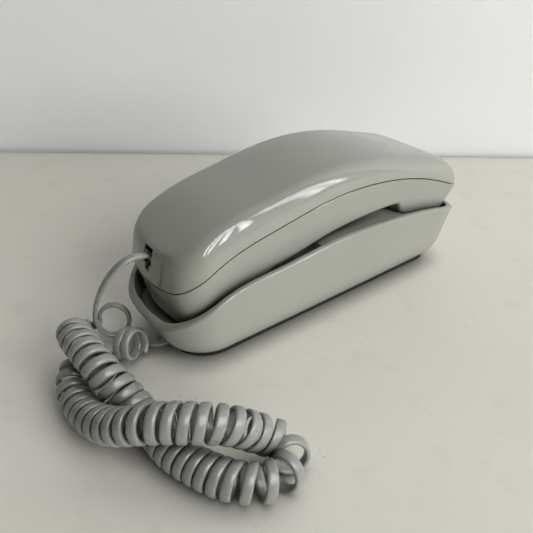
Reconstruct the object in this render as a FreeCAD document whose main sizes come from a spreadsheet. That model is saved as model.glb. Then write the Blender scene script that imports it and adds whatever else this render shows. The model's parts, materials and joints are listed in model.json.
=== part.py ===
import FreeCAD, Part
import Sketcher
import math
import os

from FreeCAD import Vector, Placement, Rotation

# A two-piece desk telephone: a long tub-shaped base with a cradle, and a handset that carries the keypad.
# Frame: millimetres, +Z up, +Y towards the earpiece end, origin on the table under the middle of the base.

doc = FreeCAD.newDocument("Telephone")
sheet = doc.addObject("Spreadsheet::Sheet", "Sizes")

SIZES = {
    # base housing: half widths and end positions at three heights
    "foot_height": 0.8, "plate_thick": 2.6, "shell_wall": 2.4, "rim_lip": 4.0,
    "bottom_half": 28.7, "bottom_front": -94.9, "bottom_rear": 94.4,
    "knee_half": 35.6, "knee_front": -100.9, "knee_rear": 98.0, "knee_height": 14.0,
    "rim_half": 37.6, "rim_front": -108.0, "rim_rear": 104.2, "rim_height": 28.0,
    "brim_half": 42.0, "brim_front": -121.0, "brim_rear": 117.0, "brim_height": 58.0,
    "rim_crown": 52.4, "rim_radius": 382.7,
    "saddle_height": 47.0, "well_height": 22.0, "floor_wall": 2.2,
    # handset: a bent bar; radii are measured from the bend axis
    "bend_y": 6.0, "bend_z": -134.0, "parting_radius": 212.0, "crown_radius": 225.7,
    "hand_half": 36.8, "hand_low_half": 32.2, "hand_front": -101.6, "hand_rear": 108.0,
    "shoulder": 10.4, "parting_gap": 0.3, "cup_bottom": 25.0,
    # keypad
    "key_wide": 10.0, "key_long": 8.4, "key_pitch_x": 13.6, "key_pitch_y": 12.0, "key_clear": 0.4,
    "key_travel": 1.6, "keys_centre": 11.0, "bezel_face": 56.6, "key_proud": 1.6,
    "dial_half": 22.4, "dial_front": -31.0, "dial_rear": 43.0,
    # hook switch
    "plunger_y": 47.5, "plunger_radius": 3.2, "plunger_top": 54.5, "plunger_clear": 0.25, "hook_travel": 6.0,
    # ringer
    "gong_radius": 20.0, "gong_y": 18.0, "gong_wall": 1.4, "gong_low": 24.0, "gong_high": 36.0,
    # capsules
    "receiver_radius": 13.2, "receiver_y": 79.4, "mouth_radius": 19.0, "mouth_y": -72.0,
    # screws
    "screw_radius": 1.4, "head_radius": 2.8, "boss_radius": 3.6,
    # cord
    "cord_wide": 5.0, "cord_split": -104.4, "coil_outer": 19.0, "jack_half": 4.2,
}
for row, (alias, value) in enumerate(SIZES.items(), start=1):
    sheet.set(f"A{row}", alias)
    sheet.set(f"B{row}", str(value))
    sheet.setAlias(f"B{row}", alias)
doc.recompute()

NODES = []


def size(alias):
    """The present value of one cell of the sheet."""
    return float(sheet.get(alias))


def bound(text):
    """An expression in which every alias is read from the sheet."""
    out, word = [], ""
    for ch in text + " ":
        if ch.isalnum() or ch == "_":
            word += ch
            continue
        out.append(f"<<Sizes>>.{word}" if word in SIZES else word)
        out.append(ch)
        word = ""
    return "".join(out).strip()


sheet.Label = "Sizes"


def bind(obj, **sizes):
    """Ties properties to numbers or to expressions of the sheet's aliases."""
    for prop, text in sizes.items():
        obj.setExpression(prop, bound(str(text)))
    return obj


def box(name, corner, wide, long, tall):
    """A block; each size is a number or an expression of the sheet's aliases."""
    obj = bind(doc.addObject("Part::Box", name), Length=wide, Width=long, Height=tall)
    obj.Placement = Placement(Vector(*corner), Rotation())
    return obj


def block(name, x0, x1, y0, y1, z0, z1):
    """A block between two corners."""
    return box(name, (x0, y0, z0), x1 - x0, y1 - y0, z1 - z0)


def rod(name, radius, length, base, axis=(0, 0, 1)):
    """A cylinder from the point base along axis."""
    obj = bind(doc.addObject("Part::Cylinder", name), Radius=radius, Height=length)
    obj.Placement = Placement(Vector(*base), Rotation(Vector(0, 0, 1), Vector(*axis)))
    return obj


def fuse(name, *parts):
    """One solid from several."""
    obj = doc.addObject("Part::MultiFuse", name)
    obj.Shapes = list(parts)
    obj.Refine = True
    return obj


def common(name, *parts):
    """What all the parts share."""
    obj = doc.addObject("Part::MultiCommon", name)
    obj.Shapes = list(parts)
    return obj


def cut(name, base, *tools):
    """The base less one or more tools."""
    tool = tools[0] if len(tools) == 1 else fuse(name + "_tools", *tools)
    if len(tools) > 1:
        tool.Refine = False
    obj = doc.addObject("Part::Cut", name)
    obj.Base, obj.Tool = base, tool
    return obj


def compound(name, *parts):
    """Several separate solids of one kind, kept as one node."""
    obj = doc.addObject("Part::Compound", name)
    obj.Links = list(parts)
    return obj


def rounded(name, base, radius, pick):
    """The base with the edges that pick accepts rounded off."""
    doc.recompute()
    edges = [i + 1 for i, e in enumerate(base.Shape.Edges) if pick(e)]
    obj = doc.addObject("Part::Fillet", name)
    obj.Base = base
    obj.Edges = [(i, radius, radius) for i in edges]
    return obj


def node(obj, label):
    """Names a finished sub-part; the label is its file's name."""
    obj.Label = label
    NODES.append(obj)
    return obj


# ---- sketches -------------------------------------------------------------------------------------------

FLAT = Placement(Vector(0, 0, 0), Rotation())
SIDE = Placement(Vector(0, 0, 0), Rotation(Vector(0, 1, 0), Vector(0, 0, 1), Vector(1, 0, 0), "XYZ"))
ACROSS = Placement(Vector(0, 0, 0), Rotation(Vector(1, 0, 0), Vector(0, 0, 1), Vector(0, -1, 0), "XYZ"))


def sketch(name, edges, plane, height=0.0):
    """A closed sketch from edges drawn in its own plane, lifted by height along the plane's normal."""
    obj = doc.addObject("Sketcher::SketchObject", name)
    for edge in edges:
        obj.addGeometry(edge, False)
    lift = plane.Rotation.multVec(Vector(0, 0, height))
    obj.Placement = Placement(plane.Base + lift, plane.Rotation)
    return obj


def path(*steps):
    """Edges through points; a step with two points is an arc through the first to the second."""
    edges, here = [], Vector(*steps[0], 0)
    for step in steps[1:]:
        if isinstance(step[0], tuple):
            mid, end = Vector(*step[0], 0), Vector(*step[1], 0)
            edges.append(Part.Arc(here, mid, end))
        else:
            end = Vector(*step, 0)
            edges.append(Part.LineSegment(here, end))
        here = end
    return edges


def corner(half, end, sign, radius, bow):
    """Tangent corner arc and bowed end arc of an outline: (side, middle, joint, centre of the end)."""
    big = (half * half + bow * bow) / (2 * bow)
    inset = big - math.sqrt((big - radius) ** 2 - (half - radius) ** 2)
    turn = math.atan2(inset - big, half - radius)

    def at(angle):
        return (half - radius + radius * math.cos(angle), end - sign * (inset + radius * math.sin(angle)))

    return at(0), at(turn / 2), at(turn), (0.0, end)


def outline(half, front, rear, front_r, front_bow, rear_r, rear_bow):
    """A long outline with straight sides, round corners and slightly bowed ends."""
    a0, a1, a2, a3 = corner(half, front, -1, front_r, front_bow)
    b0, b1, b2, b3 = corner(half, rear, 1, rear_r, rear_bow)

    def flip(p):
        return (-p[0], p[1])

    return path(
        a0, b0, (b1, b2), (b3, flip(b2)), (flip(b1), flip(b0)),
        flip(a0), (flip(a1), flip(a2)), (a3, a2), (a1, a0),
    )


def extrude(name, source, length):
    """A prism grown both ways from its sketch."""
    obj = doc.addObject("Part::Extrusion", name)
    obj.Base = source
    obj.DirMode = "Normal"
    obj.Solid = True
    obj.Symmetric = True
    bind(obj, LengthFwd=length)
    return obj


def raise_up(name, source, length):
    """A prism grown upwards from its sketch."""
    obj = doc.addObject("Part::Extrusion", name)
    obj.Base = source
    obj.DirMode = "Normal"
    obj.Solid = True
    bind(obj, LengthFwd=length)
    return obj


def loft(name, *sections):
    """A ruled solid through sections drawn one above the other."""
    obj = doc.addObject("Part::Loft", name)
    obj.Sections = list(sections)
    obj.Solid = True
    obj.Ruled = True
    return obj


def bend(name, section):
    """A section across the handset swept round the bend axis."""
    obj = doc.addObject("Part::Revolution", name)
    obj.Source = section
    obj.Axis = Vector(1, 0, 0)
    obj.Base = Vector(0, size("bend_y"), size("bend_z"))
    obj.Angle = 76
    obj.Symmetric = True
    obj.Solid = True
    return obj


def turned(name, edges, centre, axis=Vector(0, 0, 1)):
    """A solid of revolution about a vertical axis; the profile is drawn as radius and height."""
    body = doc.addObject("PartDesign::Body", name)
    shape = body.newObject("Sketcher::SketchObject", name + "_profile")
    plane = [f for f in body.Origin.OriginFeatures if f.Role == "XZ_Plane"][0]
    shape.AttachmentSupport = [(plane, "")]
    shape.MapMode = "FlatFace"
    for edge in edges:
        shape.addGeometry(edge, False)
    spin = body.newObject("PartDesign::Revolution", name + "_turn")
    spin.Profile = shape
    spin.ReferenceAxis = (shape, ["V_Axis"])
    spin.Angle = 360
    body.Placement = Placement(Vector(*centre), Rotation(Vector(0, 0, 1), axis))
    return body


def padded_body(name, edges, length, at, holes=()):
    """A PartDesign body: a pad of an outline, with round holes pocketed through it."""
    body = doc.addObject("PartDesign::Body", name)
    plane = [f for f in body.Origin.OriginFeatures if f.Role == "XY_Plane"][0]
    shape = body.newObject("Sketcher::SketchObject", name + "_outline")
    shape.AttachmentSupport = [(plane, "")]
    shape.MapMode = "FlatFace"
    for edge in edges:
        shape.addGeometry(edge, False)
    pad = body.newObject("PartDesign::Pad", name + "_pad")
    pad.Profile = shape
    bind(pad, Length=length)
    if holes:
        spots = body.newObject("Sketcher::SketchObject", name + "_holes")
        spots.AttachmentSupport = [(plane, "")]
        spots.MapMode = "FlatFace"
        for x, y, radius in holes:
            spots.addGeometry(Part.Circle(Vector(x, y, 0), Vector(0, 0, 1), radius), False)
        pocket = body.newObject("PartDesign::Pocket", name + "_pocket")
        pocket.Profile = spots
        pocket.Type = "ThroughAll"
        pocket.Reversed = True
        doc.recompute()
        whole, drilled = pad.Shape.Volume, pocket.Shape.Volume
        assert drilled < whole, f"{name}: the holes cut nothing"
        body.Tip = pocket
    body.Placement = Placement(Vector(*at), Rotation())
    return body


def rectangle(x0, x1, y0, y1, radius):
    """A rounded rectangle; the corner arcs go through their middle points."""
    k = radius * (1 - math.sqrt(0.5))
    return path(
        (x0 + radius, y0), (x1 - radius, y0), ((x1 - k, y0 + k), (x1, y0 + radius)),
        (x1, y1 - radius), ((x1 - k, y1 - k), (x1 - radius, y1)),
        (x0 + radius, y1), ((x0 + k, y1 - k), (x0, y1 - radius)),
        (x0, y0 + radius), ((x0 + k, y0 + k), (x0 + radius, y0)),
    )


# ---- base -----------------------------------------------------------------------------------------------

def tub(name, inset, low=None):
    """The tub's lofted body, or a smaller one for its hollows."""
    rows = (
        ("bottom", size("foot_height") + size("plate_thick") + 0.05, 22.2, 5.2, 8.9, 2.6),
        ("knee", size("knee_height"), 24.0, 5.3, 10.0, 3.0),
        ("rim", size("rim_height"), 28.0, 5.5, 13.0, 3.7),
        ("brim", size("brim_height"), 30.0, 6.0, 15.0, 4.0),
    )
    cuts = []
    for stage, height, front_r, front_bow, rear_r, rear_bow in rows:
        edges = outline(
            size(stage + "_half") - inset, size(stage + "_front") + inset, size(stage + "_rear") - inset,
            front_r - inset, front_bow, rear_r - 1.4 * inset, rear_bow,
        )
        if stage == "bottom" and inset:
            height -= 1.0
        if stage == "brim" and inset:
            height += 1.0
        cuts.append(sketch(f"{name}_{stage}", edges, FLAT, height))
    return loft(name, *cuts)


def below_rim(name):
    """Everything under the rim's arched edge, which dips at the front."""
    centre = size("rim_crown") - size("rim_radius")

    def edge(y):
        return centre + math.sqrt(size("rim_radius") ** 2 - y * y)

    edges = path(
        (-126, 0), (126, 0), (126, edge(126)), ((30, edge(30)), (-78, edge(-78))),
        ((-97, 37.2), (-113, 24.0)), (-126, 12.0), (-126, 0),
    )
    return extrude(name, sketch(name + "_side", edges, SIDE), 120)


def cradle_side(name, top):
    """The side view of the cradle: a saddle with a sloping front and a pit at each end, closed at the top."""
    high, low = size("saddle_height"), size("well_height")
    edges = path(
        (-126, low), (-43.5, low), ((-34, 38.0), (-18, high)), (55.4, high), (59.4, low), (126, low),
        (126, top), (-126, top), (-126, low),
    )
    return extrude(name, sketch(name + "_side", edges, SIDE), 120)


def cradle_under(name, drop, bottom):
    """The hollow side of the cradle floor."""
    high, low = size("saddle_height") - drop, size("well_height") - drop
    edges = path(
        (-126, bottom), (126, bottom), (126, low), (57.0, low), (53.0, high), (-17.0, high),
        ((-32.2, 35.4), (-41.0, low)), (-126, low), (-126, bottom),
    )
    return extrude(name, sketch(name + "_side", edges, SIDE), 120)


BOSSES = [(sx * 21.0, y) for y in (-66.0, 70.0) for sx in (-1, 1)]
PLATE_TOP = size("foot_height") + size("plate_thick")
WHEEL = (-21.4, -4.0)
CORD_JACK_X = 6.0


def base_housing():
    outer = common("tub_trimmed", tub("tub_outer", 0.0), below_rim("rim_line"))
    well = common("cradle_well", tub("well_tub", size("rim_lip")), cradle_side("cradle_floor", 70.0))
    under = cradle_under("cradle_back", size("floor_wall"), 0.0)
    hollow = common("tub_hollow", tub("hollow_tub", size("shell_wall")), under)
    shell = cut("tub_shell", outer, well, hollow)
    boss_height = size("well_height") - 1.6 - PLATE_TOP
    bosses, holes = [], []
    for i, (x, y) in enumerate(BOSSES):
        bosses.append(rod(f"base_boss_{i}", "boss_radius", boss_height, (x, y, PLATE_TOP)))
        holes.append(rod(f"base_boss_hole_{i}", "screw_radius", 10.0, (x, y, PLATE_TOP)))
    holes.append(rod("plunger_hole", "plunger_radius + plunger_clear", 12, (0, size("plunger_y"), 40)))
    holes.append(block("cord_jack_slot", CORD_JACK_X - 4.4, CORD_JACK_X + 4.4, -106, -91, -1.0, 10.8))
    holes.append(block("line_jack_slot", -4.4, 4.4, 90.2, 104, 6.0, 14.4))
    holes.append(block("volume_slot", -40.0, -25.0, -14.6, 6.6, PLATE_TOP - 0.6, PLATE_TOP + 0.3))
    return node(cut("housing", fuse("tub_bossed", shell, *bosses), *holes), "base_housing")


def base_plate():
    edges = outline(
        size("bottom_half") - 0.3, size("bottom_front") + 0.3, size("bottom_rear") - 0.3, 22.0, 5.2, 8.7, 2.6
    )
    holes = [(x, y, size("screw_radius") + 0.1) for x, y in BOSSES]
    holes += [(6.0 * i, 18.0 + 6.0 * j, 1.5) for i in (-1, 0, 1) for j in (-1, 0, 1)]
    plate = padded_body("plate", edges, "plate_thick", (0, 0, size("foot_height")), holes)
    foot = size("foot_height")
    sinks = [rod(f"head_sink_{i}", "head_radius + 0.2", 1.4, (x, y, foot)) for i, (x, y) in enumerate(BOSSES)]
    bay_round = rod("bay_round", 9.8, 3.0, (*WHEEL, foot + 0.5))
    bay = cut("wheel_bay", bay_round, rod("wheel_pin", 1.5, 4.0, (*WHEEL, foot)))
    notch = block("cord_notch", CORD_JACK_X - 6.3, CORD_JACK_X + 6.3, -100, -76.9, 0.0, 6.0)
    return node(cut("plate_finished", plate, bay, notch, *sinks), "base_plate")


def base_small_parts():
    edges = outline(
        size("bottom_half") - 1.2, size("bottom_front") + 1.2, size("bottom_rear") - 1.2, 21.0, 5.2, 8.0, 2.6
    )
    pad = raise_up("foot_pad", sketch("foot_outline", edges, FLAT), "foot_height")
    front = common("front_foot", pad, block("front_foot_zone", -40, 40, -100, -73, -1, 4))
    rear = common("rear_foot", pad, block("rear_foot_zone", -40, 40, 76, 100, -1, 4))
    node(compound("feet", front, rear), "rubber_feet")
    foot = size("foot_height")
    screws = []
    for i, (x, y) in enumerate(BOSSES):
        head = rod(f"base_screw_head_{i}", "head_radius", 1.2, (x, y, foot + 0.2))
        shank = rod(f"base_screw_shank_{i}", "screw_radius", 11.0, (x, y, foot + 1.4))
        slot = block(f"base_screw_slot_{i}", x - 2.2, x + 2.2, y - 0.3, y + 0.3, foot, foot + 0.7)
        screws.append(cut(f"base_screw_{i}", fuse(f"base_screw_raw_{i}", head, shank), slot))
    node(compound("base_screw_set", *screws), "base_screws")
    rim = path((1.56, 0), (9.2, 0), (9.2, 1.9), (1.56, 1.9), (1.56, 0))
    node(turned("thumb_wheel", rim, (*WHEEL, foot + 0.6)), "volume_wheel")
    spots = [(side * x, y) for x, y in ((15, -84), (15, -58), (13, 70), (13, 89)) for side in (-1, 1)]
    pads = [rod(f"pad_{i}", 4.0, 2.5, (x, y, size("well_height"))) for i, (x, y) in enumerate(spots)]
    node(compound("pads", *pads), "cradle_pads")


def network():
    board = padded_body(
        "board", rectangle(-17, 17, -75.5, -32, 1.5), 1.6, (0, 0, 8.0),
        [(-12, -71, 1.2), (12, -71, 1.2), (-12, -36, 1.2), (12, -36, 1.2)],
    )
    node(board, "network_board")
    posts = [
        rod(f"board_post_{i}", 2.4, 8.0 - PLATE_TOP, (x, y, PLATE_TOP))
        for i, (x, y) in enumerate([(-12, -71), (12, -71), (-12, -36), (12, -36)])
    ]
    node(compound("board_posts", *posts), "board_spacers")
    can = block("can", -13, 9, -66, -44, 9.6, 18.4)
    node(rounded("can_rounded", can, 1.2, lambda e: e.BoundBox.ZLength > 5), "network_can")
    node(rod("capacitor_body", 3.6, 20, (13.0, -65, 13.3), (0, 1, 0)), "capacitor")


def jack_block(name, x, y0, y1, z0, z1, mouth, open_to):
    """A modular jack: a block with a stepped opening at one end."""
    half = size("jack_half")
    body = block(name + "_block", x - half - 2.0, x + half + 2.0, y0, y1, z0, z1)
    ym0, ym1 = (y0 - 1, y0 + 12.0) if open_to < 0 else (y1 - 12.0, y1 + 1)
    hole = block(name + "_mouth", x - half, x + half, ym0, ym1, mouth[0], mouth[1])
    notch = block(name + "_notch", x - 1.9, x + 1.9, ym0, ym1, mouth[0] - 1.4, mouth[0])
    return cut(name + "_cut", body, hole, notch)


def plug(name, x, y0, y1, z0, z1):
    """A modular plug: a clear block with a latch tongue under it."""
    body = block(name + "_block", x - 3.85, x + 3.85, y0, y1, z0, z1)
    latch = block(name + "_latch", x - 1.6, x + 1.6, y0 + 1.5, y1 - 1.0, z0 - 1.1, z0)
    return fuse(name + "_body", body, latch)


def hook_parts():
    y, r = size("plunger_y"), size("plunger_radius")
    tall, flange = 24.7, 5.0
    outline_of_pin = path(
        (0, 0), (r, 0), (r, 8.0), (flange, 8.0), (flange, 8.8), (r, 8.8), (r, tall - 1.4),
        ((r - 0.4, tall - 0.4), (r - 1.4, tall)), (0, tall), (0, 0),
    )
    node(turned("pin", outline_of_pin, (0, y, size("plunger_top") - tall)), "hook_plunger")
    coil, bore = rod("spring_outer", 4.7, 6.4, (0, y, 31.2)), rod("spring_bore", 3.5, 8, (0, y, 30.6))
    node(cut("spring_ring", coil, bore), "plunger_spring")
    frame = block("switch_frame", -9, 9, 42.0, 52.6, PLATE_TOP, 25.0)
    slot = block("switch_slot", -7.2, 7.2, 40, 60, 9.0, 22.6)
    shelf = cut(
        "spring_shelf", block("shelf_block", -9, 9, 42.0, 52.6, 25.0, 31.0),
        rod("shelf_bore", 3.6, 8, (0, y, 24)), block("shelf_gap", -7.2, 7.2, 40, 60, 25.0, 29.4),
    )
    node(cut("switch_body", fuse("switch_all", frame, shelf), slot), "hook_switch")
    springs = []
    for i in range(2):
        leaf = block(f"leaf_{i}", -6.0 + 7.4 * i, -1.4 + 7.4 * i, 43.0, 51.6, 25.0, 25.6)
        lift = block(f"leaf_lift_{i}", -4.4 + 5.6 * i, -2.0 + 5.6 * i, 45.0, 50.0, 25.6, 29.2)
        springs.append(fuse(f"leaf_pair_{i}", leaf, lift))
    node(compound("leaf_set", *springs), "switch_contacts")


def ringer():
    gy, wall = size("gong_y"), size("gong_wall")
    r, low, high = size("gong_radius"), size("gong_low"), size("gong_high")
    plate = block("ringer_plate", -19, 19, -26, 36, 6.4, 7.8)
    feet = [
        rod(f"ringer_foot_{i}", 2.6, 6.4 - PLATE_TOP, (x, y, PLATE_TOP))
        for i, (x, y) in enumerate([(-15, -22), (15, -22), (-15, 32), (12, 33)])
    ]
    post = rod("gong_post", 4.0, high - wall - 7.8, (0, gy, 7.8))
    node(fuse("ringer_chassis", plate, post, *feet), "ringer_frame")
    rise, flat = high - low, r * 0.62
    dome = path(
        (1.6, rise - wall), (flat, rise - wall), ((r - wall - 1.2, rise - 4.4), (r - wall, 0)), (r, 0),
        ((r - 1.0, rise - 3.4), (flat + 0.3, rise)), (1.6, rise), (1.6, rise - wall),
    )
    node(turned("gong", dome, (0, gy, low)), "ringer_gong")
    bolt_head = rod("gong_bolt_head", 3.4, 1.4, (0, gy, high))
    bolt_neck = rod("gong_bolt_neck", 1.6, wall, (0, gy, high - wall))
    node(fuse("gong_bolt", bolt_head, bolt_neck), "gong_screw")
    coil = fuse(
        "coil_wound", rod("winding", 6.4, 18, (-11, -15, 15), (1, 0, 0)),
        block("coil_cheek_a", -12.2, -11, -22, -8, 7.8, 22), block("coil_cheek_b", 7, 8.2, -22, -8, 7.8, 22),
    )
    node(coil, "ringer_coil")
    pin_x, pin_y = 14.6, -12.0
    arm = fuse(
        "striker", rod("striker_hub", 2.6, 6.0, (pin_x, pin_y, 14.2)),
        block("striker_arm", pin_x - 0.8, pin_x + 0.8, pin_y, gy + 1.0, 17.0, 18.4),
        rod("striker_stem", 0.8, 8.0, (pin_x, gy, 17.6)), rod("striker_ball", 2.3, 3.6, (pin_x, gy, 24.6)),
    )
    node(cut("striker_bored", arm, rod("striker_bore", 1.06, 9, (pin_x, pin_y, 13))), "clapper")
    node(rod("striker_pin", 1.0, 13.4, (pin_x, pin_y, 7.8)), "clapper_pin")


# ---- handset --------------------------------------------------------------------------------------------

def bent_solid(name, inset):
    """The bent bar's section swept round: straight sides below, round shoulders above."""
    z0 = size("bend_z")
    part_r, crown = size("parting_radius"), size("crown_radius") - inset
    half, low, r = size("hand_half") - inset, size("hand_low_half") - inset, size("shoulder")
    top = half - 1.2
    k = r * (1 - math.sqrt(0.5))

    def flip(p):
        return (-p[0], p[1])

    foot, flank = (low - 2.8, z0 + 148), (low, z0 + part_r - 22)
    widest, shoulder = (half, z0 + part_r), (top, z0 + crown - r)
    arc_mid, arc_end = (top - k, z0 + crown - k), (top - r, z0 + crown)
    edges = path(
        flip(foot), foot, flank, widest, shoulder, (arc_mid, arc_end), flip(arc_end),
        (flip(arc_mid), flip(shoulder)), flip(widest), flip(flank), flip(foot),
    )
    return bend(name, sketch(name + "_section", edges, ACROSS, -size("bend_y")))


def side_view(name, inset):
    """The handset seen from the side: two cups below, rounded ends, open above."""
    t, cup = inset, size("cup_bottom") + inset
    front, rear = size("hand_front") + t, size("hand_rear") - t
    edges = path(
        (front + 4.4, cup), (-47 - t, cup), (-43.4 - t, 46.8 + t), ((10, 56.2 + t), (61.4 + t, 54.2 + t)),
        (62.6 + t, cup), (rear - 15.5, cup), (rear - 14.0, 27 + 0.5 * t), (rear - 7.0, 40), (rear, 51.6),
        (rear - 0.2, 58), ((rear - 4.4, 67.4), (rear - 13, 73.4)), (rear - 13, 110), (front + 17.6, 110),
        (front + 17.6, 73), ((front + 6.8, 67.3), (front + 1.0, 57)), (front, 50), (front + 4.4, cup),
    )
    return extrude(name, sketch(name + "_side", edges, SIDE), 120)


def hand_plan(name, inset):
    """The handset's rounded ends seen from above, drawn in towards the cups below."""
    cuts = []
    stages = ((12, 8.0, -6.0, 16.5, 9.5), (50, -0.5, 0.2, 19.0, 11.0), (110, -0.5, 0.2, 19.0, 11.0))
    for i, (height, narrow, reach, front_r, rear_r) in enumerate(stages):
        edges = outline(
            size("hand_half") - narrow - inset, size("hand_front") - reach + inset,
            size("hand_rear") + min(reach, reach * 2.6) - inset, front_r - inset, 6.4, rear_r - inset, 1.2,
        )
        cuts.append(sketch(f"{name}_{i}", edges, FLAT, height))
    return loft(name, *cuts)


def bent_slab(name, low, high):
    """A wide bent slab between two bend radii, used to part the shells."""
    z0 = size("bend_z")
    edges = path((-60, z0 + low), (60, z0 + low), (60, z0 + high), (-60, z0 + high), (-60, z0 + low))
    return bend(name, sketch(name + "_section", edges, ACROSS, -size("bend_y")))


HAND_SCREWS = [(-24.0, 52.5), (24.0, 52.5), (-23.0, -37.5), (23.0, -37.5)]


def screw_seat(y):
    """The height at which a handset screw's head bears."""
    return 55.8 if y > 0 else 50.8


def handset_shells():
    def whole(name, inset):
        bar, view = bent_solid(name + "_bar", inset), side_view(name + "_view", inset)
        return common(name, bar, view, hand_plan(name + "_plan", inset))

    skin = cut("hand_skin", whole("hand_outer", 0.0), whole("hand_inner", size("shell_wall")))
    half_gap = size("parting_gap") / 2
    upper = common("hand_upper", skin, bent_slab("upper_slab", size("parting_radius") + half_gap, 245))
    lower = common("hand_lower", skin, bent_slab("lower_slab", 140, size("parting_radius") - half_gap))
    posts, pilots, holes = [], [], []
    for i, (x, y) in enumerate(HAND_SCREWS):
        seat = screw_seat(y)
        posts.append(rod(f"hand_post_{i}", "boss_radius", 24.0, (x, y, 68.6 if y > 0 else 66.0)))
        pilots.append(rod(f"hand_pilot_{i}", "screw_radius", 12.0, (x, y, 60)))
        holes.append(rod(f"hand_through_{i}", "screw_radius + 0.15", 14, (x, y, 48)))
        holes.append(rod(f"hand_sink_{i}", "head_radius + 0.2", 8, (x, y, seat - 8)))
    core = whole("hand_core", size("shell_wall") - 0.4)
    upper = fuse("upper_bossed", upper, common("posts_trimmed", compound("hand_posts", *posts), core))
    side = size("jack_half") + 0.6
    mouth = block("hand_jack_slot", -side, side, -106, -91, 54.0, 65.8)
    node(cut("upper_shell", upper, mouth, *pilots), "handset_top_shell")
    half = size("dial_half")
    window = block("dial_window", -half, half, size("dial_front"), size("dial_rear"), 44, 60)
    ear, lip = size("receiver_y"), size("mouth_y")
    holes += [rod(f"ear_hole_{i}", 1.2, 6, (x, y, 23)) for i, (x, y) in enumerate(ring(ear, 7.0, 6))]
    holes.append(rod("ear_hole_mid", 1.2, 6, (0, ear, 23)))
    holes += [block(f"mouth_slot_{i}", -9, 9, lip - 8.6 + 6 * i, lip - 6.8 + 6 * i, 23, 29) for i in range(4)]
    node(cut("lower_shell", lower, window, *holes), "handset_bottom_shell")


def ring(y, radius, count):
    """Points spread evenly round a circle."""
    turns = [2 * math.pi * i / count for i in range(count)]
    return [(radius * math.cos(turn), y + radius * math.sin(turn)) for turn in turns]


def key_rows():
    """Name, x and y of each key, in rows from the earpiece down."""
    names = ("1", "2", "3", "4", "5", "6", "7", "8", "9", "star", "0", "hash")
    for i, name in enumerate(names):
        column, row = i % 3, i // 3
        # seen from below, the columns run from +X to -X
        y = size("keys_centre") + (1.5 - row) * size("key_pitch_y")
        yield name, (1 - column) * size("key_pitch_x"), y


def keypad():
    face, clear = size("bezel_face"), size("key_clear")
    half, y0, y1 = size("dial_half") - 0.25, size("dial_front") + 0.25, size("dial_rear") - 0.25
    panel = raise_up("panel", sketch("panel_plan", rectangle(-half, half, y0, y1, 1.5), FLAT, face), 2.6)
    wider = rectangle(-half - 3, half + 3, y0 - 3, y1 + 3, 2.0)
    flange = raise_up("flange", sketch("flange_plan", wider, FLAT, face + 2.6), 1.4)
    hole_size = ("key_wide + 2 * key_clear", "key_long + 2 * key_clear", 8)
    holes = []
    for name, x, y in key_rows():
        holes.append(box(f"key_hole_{name}", (x - 5.0 - clear, y - 4.2 - clear, face - 1), *hole_size))
    holes.append(block("recall_hole", -7.4, 7.4, -24.4, -16.6, face - 1, face + 6))
    holes.append(block("card_bay", -16.2, 16.2, 35.6, 41.4, face - 0.5, face + 1.6))
    node(cut("dial_panel", fuse("dial_plate", panel, flange), *holes), "dial_frame")
    top, tip = face + 4.4, face - size("key_proud")
    for name, x, y in key_rows():
        cap = box(f"cap_{name}", (x - 5.0, y - 4.2, tip), "key_wide", "key_long", top - tip)
        skirt = block(f"skirt_{name}", x - 6.2, x + 6.2, y - 5.2, y + 5.2, top, top + 0.9)
        soft = rounded(f"cap_round_{name}", cap, 1.0, lambda e: e.BoundBox.ZMax < tip + 0.01)
        node(fuse(f"key_body_{name}", soft, skirt), f"key_{name}")
    bar = block("recall_cap", -7.0, 7.0, -24.0, -17.0, face - 1.2, top)
    bar_round = rounded("recall_round", bar, 1.0, lambda e: e.BoundBox.ZMax < face - 1.19)
    bar_skirt = block("recall_skirt", -8.2, 8.2, -25.0, -16.0, top, top + 0.9)
    node(fuse("recall_body", bar_round, bar_skirt), "recall_button")
    node(block("card", -15.8, 15.8, 36.0, 41.0, face + 1.0, face + 1.3), "number_card")
    node(block("window", -16.0, 16.0, 35.8, 41.2, face, face + 0.8), "number_window")
    sheet_z = top + 0.9 + size("key_travel") + 0.2
    mat_plan = sketch("mat_plan", rectangle(-20, 20, -26, 34.8, 2.0), FLAT, sheet_z + 0.9)
    mat = raise_up("mat_base", mat_plan, 0.8)
    domes = [rod(f"dome_{name}", 3.0, 0.95, (x, y, sheet_z)) for name, x, y in key_rows()]
    domes.append(rod("dome_recall", 3.0, 0.95, (0, -20.5, sheet_z)))
    node(fuse("mat", mat, *domes), "key_dome_sheet")
    fixings = [(-18.5, -24, 1.1), (18.5, -24, 1.1)]
    board = padded_body("dial_board", rectangle(-21, 21, -27, 36, 1.5), 1.6, (0, 0, sheet_z + 1.7), fixings)
    node(board, "dial_circuit_board")
    node(rod("lamp", 1.8, 5.0, (13, 26, sheet_z + 3.3)), "dial_lamp")


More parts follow.
